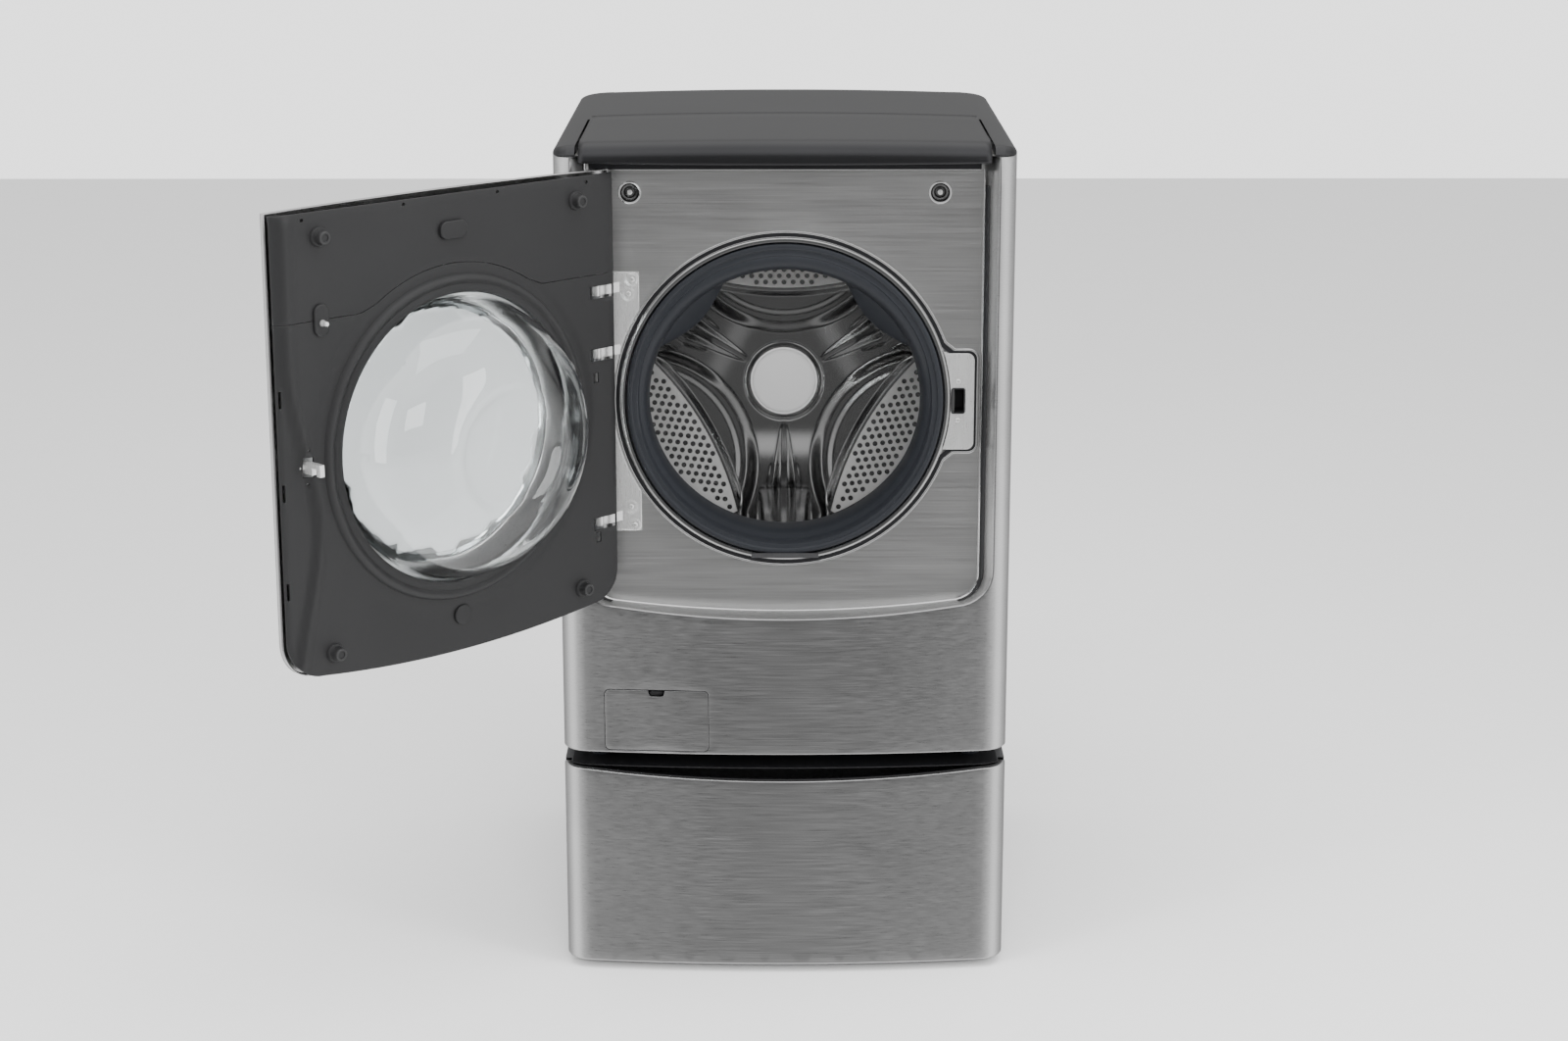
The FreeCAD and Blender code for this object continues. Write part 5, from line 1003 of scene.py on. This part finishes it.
def door_details():
    """Bumper pads, three raised plugs and the pin that meets the panel's switch."""
    y = -DOOR_BACK - 365.6
    pad = [(0.01, y - 1.6), (5.2, y - 1.6), (6, y - 0.2), (8.6, y), (9.8, y - 1.2), (10.4, 6.5), (11.4, 5),
           (13.6, 4.4), (14.6, 2.6), (15, 0.1), (15, -1.5), (0.01, -1.5)]
    pads = [lathe("pad", pad, SWING @ facing(x, DOOR_BACK, z), 48) for z in (CUP_Z, BASE + 297)
            for x in (-CUP_X, CUP_X)]
    piece(joined("door_pads", pads), "door", "charcoal_plastic", ["door_bumpers"], angle=40)
    plugs = []
    for outline, proud, roll, depth in ((round_box(-26, 26, TOP - 92, TOP - 64, 13, 8), 6.4, 2.4, 7.5),
                                        (circle(2, 692, 16, 40), 4.6, 2.2, 6),
                                        (round_box(236, 262, 1166, 1214, 12.5, 8), 5.0, 3.0, 6.5)):
        def face(x, z, d, proud=proud):
            return (x, DOOR_BACK + proud - d, z)
        plugs.append(flipped(plate("plug", outline, [], face, roll=roll, depth=depth, matrix=SWING)))
    piece(joined("door_plugs", plugs), "door", "charcoal_plastic", angle=45)
    pin = lathe("door_pin", [(0.01, 17.2), (2.6, 17), (3.6, 15.8), (4, 14), (4, 10), (4.4, 9.4), (5.2, 5),
                             (5.2, 2), (0.01, 2)], SWING @ facing(249, DOOR_BACK, 1186), 32)
    piece(pin, "door", "stainless", angle=40)


def hook():
    """The CAD hook's own shape, welded and with softened edges."""
    mesh = frame["nodes"]["door_hook"].data.copy()

    def weld(work):
        bmesh.ops.remove_doubles(work, verts=work.verts, dist=0.00002)
        bmesh.ops.dissolve_limit(work, angle_limit=math.radians(1.0), verts=work.verts, edges=work.edges)
    blade = edited(placed("hook_blade", mesh), weld)
    if mesh.attributes.get("custom_normal"):
        mesh.attributes.remove(mesh.attributes["custom_normal"])
    bevelled(smooth(blade, 30.0), 0.7, 2, 30.0)
    piece(blade, "hook", "stainless", ["door_hook"], shade=False)


# ---- top ----
def arm_y(x):
    """Front of the cover's arm, kept off the very side of the skin, where it has no slope."""
    return front_y(max(0.01 - HALF, min(HALF - 0.01, x)))


def cover_top(x, y):
    """Height of the top cover: rolled at its sides, rear and arms, crowned, with a low step at the rear."""
    corner = 58.0
    dx, dy = abs(x) - (HALF - corner), y - (REAR - corner)
    edge = corner - math.hypot(dx, dy) if dx > 0 and dy > 0 else min(HALF - abs(x), REAR - y)
    if abs(x) > LID_HALF + 3.5:
        edge = min(edge, y - arm_y(x))
    share = min(1.0, max(edge, 0.0) / 34.0)
    rolled = 3.0 + 12.0 * math.sqrt(max(0.0, 1 - (1 - share) ** 2))
    bulge = 6.0 * max(0.0, 1 - (x / (HALF - 34)) ** 2) * share
    ridge = 2.4 * step(REAR - 34, REAR - 28, y) * (1 - step(300, 312, abs(x)))
    return TOP + min(rolled + bulge - ridge, 20.9)


def corner_pull(x, y):
    """Draws a point outside the cover's round rear corner back onto it."""
    corner = 58.0
    dx, dy = abs(x) - (HALF - corner), y - (REAR - corner)
    if dx > 0 and dy > 0 and math.hypot(dx, dy) > corner:
        share = corner / math.hypot(dx, dy)
        return math.copysign(HALF - corner + dx * share, x), REAR - corner + dy * share
    return x, y


def top_cover():
    """Cover with arms beside the sliding lid."""
    inner = LID_HALF + 4
    xs = [HALF * math.sin(a) for a in np.linspace(math.radians(64.6), math.pi / 2, 12)]
    xs = [x for x in xs if x > inner + 0.5]
    columns = [-x for x in xs[::-1]] + list(np.linspace(-inner, inner, 61)) + xs
    bay_y, roll, arm_rows = -40.0, 60, 24
    back = list(np.linspace(bay_y, REAR - roll, 22))
    back += [REAR - roll * math.cos(a) for a in np.linspace(0, math.pi / 2, 16)[1:]]
    ys = [list(np.linspace(arm_y(x), bay_y, arm_rows + 1)[:-1]) + back for x in columns]
    count = len(ys[0])
    verts = [corner_pull(x, y) for x, column in zip(columns, ys) for y in column]
    verts = [(x, y, cover_top(x, y)) for x, y in verts]
    faces = []
    for i, (a, b) in enumerate(zip(columns, columns[1:])):
        arm = abs(a + b) / 2 > inner - 0.1
        for j in range(0 if arm else arm_rows, count - 1):
            corner = i * count + j
            faces.append((corner, corner + count, corner + count + 1, corner + 1))

    def walled(work):
        bmesh.ops.delete(work, geom=[v for v in work.verts if not v.link_faces], context="VERTS")
        walls = bmesh.ops.extrude_edge_only(work, edges=[e for e in work.edges if e.is_boundary])
        for v in walls["geom"]:
            if isinstance(v, bmesh.types.BMVert):
                v.co.z = TOP * MM
    cover = edited(cleaned(add("top_shell", verts, faces), closed=False), walled)
    piece(thick(cover, 2.4), "cabinet", "graphite_cover", ["top_cover"], angle=50)


def sliding_lid():
    """Lid with a rounded nose that turns in under its front edge."""
    rear, nose, bottom = -25.0, 24.0, TOP - 10
    rows = []
    for x in np.linspace(-LID_HALF + 2.2, LID_HALF - 2.2, 67):
        side = min(1.0, (LID_HALF - abs(x)) / 6.0)
        drop = 2.2 * (1 - math.sqrt(max(0.0, 1 - (1 - side) ** 2)))
        top = TOP + 20 + 6 * (1 - (x / LID_HALF) ** 2) - drop
        face = front_y(x, 4.6) + drop * 0.6
        bend = face + nose * 1.9
        row = [(x, rear + 0.4, top - 12), (x, rear, top - 2), (x, rear - 0.6, top - 0.6), (x, rear - 2, top)]
        row += [(x, y, top - 0.9 * step(-70, -58, y)) for y in np.linspace(rear - 6, bend, 22)]
        row += [(x, bend - nose * 1.9 * math.sin(a), top - nose * (1 - math.cos(a)))
                for a in np.linspace(0, math.pi / 2, 13)[1:]]
        row += [(x, face + back, bottom + up) for back, up in (
            (-0.5, 5.0), (-0.4, 2.6), (0.8, 0.6), (2.6, 0), (8, 0.4), (9, 4))]
        rows.append(row)
    lid = cleaned(rows_mesh("lid_shell", rows), closed=False)
    if max(lid.data.polygons, key=lambda polygon: polygon.area).normal.z < 0:
        flipped(lid)
    piece(thick(lid, 2.2), "lid", "graphite_cover", ["sliding_lid"], angle=50)


# ---- rear ----
def rear_details():
    """Ribs pressed into the rear panel, black slots that paint the shade inside its vents, its screws and
    those of the round cover.
    """
    def rear_face(proud):
        return lambda u, v, d: (-u, REAR + proud - d, v)
    boxes = [(x, BASE + low, BASE + high) for x in (-250, 250) for low, high in ((40, 300), (640, 860))]
    ribs = [plate("rib", round_box(x - 16, x + 16, low, high, 15.9), [], rear_face(2.6), roll=2.5, depth=3.2)
            for x, low, high in boxes]
    # painted shade: black slot plates for the dark inside of the vents
    slots = [plate("slot", round_box(-60, 60, z, z + 5, 2.4), [], rear_face(1.2), roll=1.0, depth=1.6)
             for z in [BASE + 60 + row * 16 for row in range(7)]]
    piece(joined("rear_ribs", ribs), "cabinet", "painted_sheet", angle=50)
    piece(joined("rear_vent_shade", slots), "cabinet", "black_plastic", angle=50)
    spots = [(x, z, 0.0) for x in (-355, 0, 355) for z in (BASE + 14, TOP - 14)]
    spots += [(side * 355, BASE + rise, 0.0) for side in (-1, 1) for rise in (250, 490, 740)]
    spots += [(178 * math.sin(turn), REAR_COVER_Z + 178 * math.cos(turn), 7.6)
              for turn in np.radians(range(0, 360, 45))]
    head = [(0.01, -0.6), (6.6, -0.6), (6.6, 0.9), (4.6, 1.5), (4.2, 3.6), (3.4, 4.4), (0.01, 4.4)]
    heads = [lathe("head", head, facing(x, REAR + proud, z), 6 if abs(x) < 1 else 24)
             for x, z, proud in spots]
    piece(joined("rear_screws", heads), "cabinet", "stainless", angle=40)


# ---- stage ----
def stage():
    floor = rows_mesh("floor", [[(-9000, -9000, 0), (9000, -9000, 0)], [(-9000, 9000, 0), (9000, 9000, 0)]])
    floor.location.z = -0.0005
    floor.data.materials.append(make_material("floor_pale", (0.86, 0.86, 0.86), 0, 0.65, 30, 0.01, 0.03, 0.0))
    floor.visible_glossy = False
    studio_world()
    for name, where, size, power in (("key_left", (-3.1, -3.0, 1.7), (1.0, 3.0), 90),
                                     ("key_right", (3.3, -2.6, 1.6), (1.2, 3.0), 130),
                                     ("overhead", (0.2, -1.2, 4.6), (3.6, 2.6), 150),
                                     ("front_fill", (0.3, -5.6, 2.6), (2.4, 1.4), 230)):
        data = bpy.data.lights.new(name, "AREA")
        data.shape = "RECTANGLE"
        data.size, data.size_y = size
        data.energy = power
        lamp = placed(name, data)
        lamp.location = where
        lamp.rotation_mode = "QUATERNION"
        lamp.rotation_quaternion = (Vector((0, 0, 0.75)) - Vector(where)).to_track_quat("-Z", "Y")
        lamp.visible_camera = False
        lamp.visible_glossy = False


def studio_world():
    """Plain to the camera; for light and reflections dim in front, brighter at the sides and above."""
    world = bpy.data.worlds.new("studio")
    bpy.context.scene.world = world
    world.use_nodes = True
    tree = world.node_tree
    back = tree.nodes["Background"]
    place = new_node(tree, "TexCoord")
    parts = new_node(tree, "SeparateXYZ")
    link(place, "Generated", parts, "Vector")
    most = new_node(tree, "Math")
    most.operation = "MAXIMUM"
    by_depth = ((-0.98, 0.11), (-0.93, 0.21), (-0.85, 0.42), (-0.6, 0.9), (-0.2, 1.9), (0.25, 0.9),
                (0.8, 0.4))
    by_height = ((0.2, 0.0), (0.45, 0.5), (0.85, 1.6))
    for number, (axis, stops) in enumerate((("Y", by_depth), ("Z", by_height))):
        level = new_node(tree, "FloatCurve")
        level.mapping.use_clip = False
        points = [((at + 1) / 2, strength / 2) for at, strength in stops]
        curve = level.mapping.curves[0]
        curve.points[0].location = (0.0, points[0][1])
        curve.points[1].location = (1.0, points[-1][1])
        for point in points:
            curve.points.new(*point)
        level.mapping.update()
        shift = new_node(tree, "MapRange", From_Min=-1.0)
        link(parts, axis, shift, "Value")
        link(shift, "Result", level, "Value")
        tree.links.new(level.outputs["Value"], most.inputs[number])
    twice = new_node(tree, "Math")
    twice.operation = "MULTIPLY"
    twice.inputs[1].default_value = 2.0
    tree.links.new(most.outputs["Value"], twice.inputs[0])
    path = new_node(tree, "LightPath")
    plain = new_node(tree, "Mix", B=2.2)
    link(path, "Is Camera Ray", plain, "Factor")
    link(twice, "Value", plain, "A")
    link(plain, "Result", back, "Strength")
    back.inputs["Color"].default_value = (1, 1, 1, 1)


def camera():
    """The photograph's own view."""
    data = bpy.data.cameras.new("photo_view")
    data.sensor_width = 36.0
    data.lens = 67.35375
    data.clip_end = 100
    cam = placed("photo_view", data)
    cam.location = (-0.017, -5.007, 1.996)
    cam.rotation_euler = (math.radians(90 - 14.76), 0, math.radians(-0.19))
    bpy.context.scene.camera = cam


for build in (front_skin, recess_trim, flap, drawer_front, inner_panel, opening, gasket, latch_plate, screws,
              hinge_side, drum_back, drum_lenses, drum_wall, drum_hub, drum_lifters, door_skin, door_covers,
              door_ring, door_details, hook, top_cover, sliding_lid, rear_details, stage, camera):
    build()
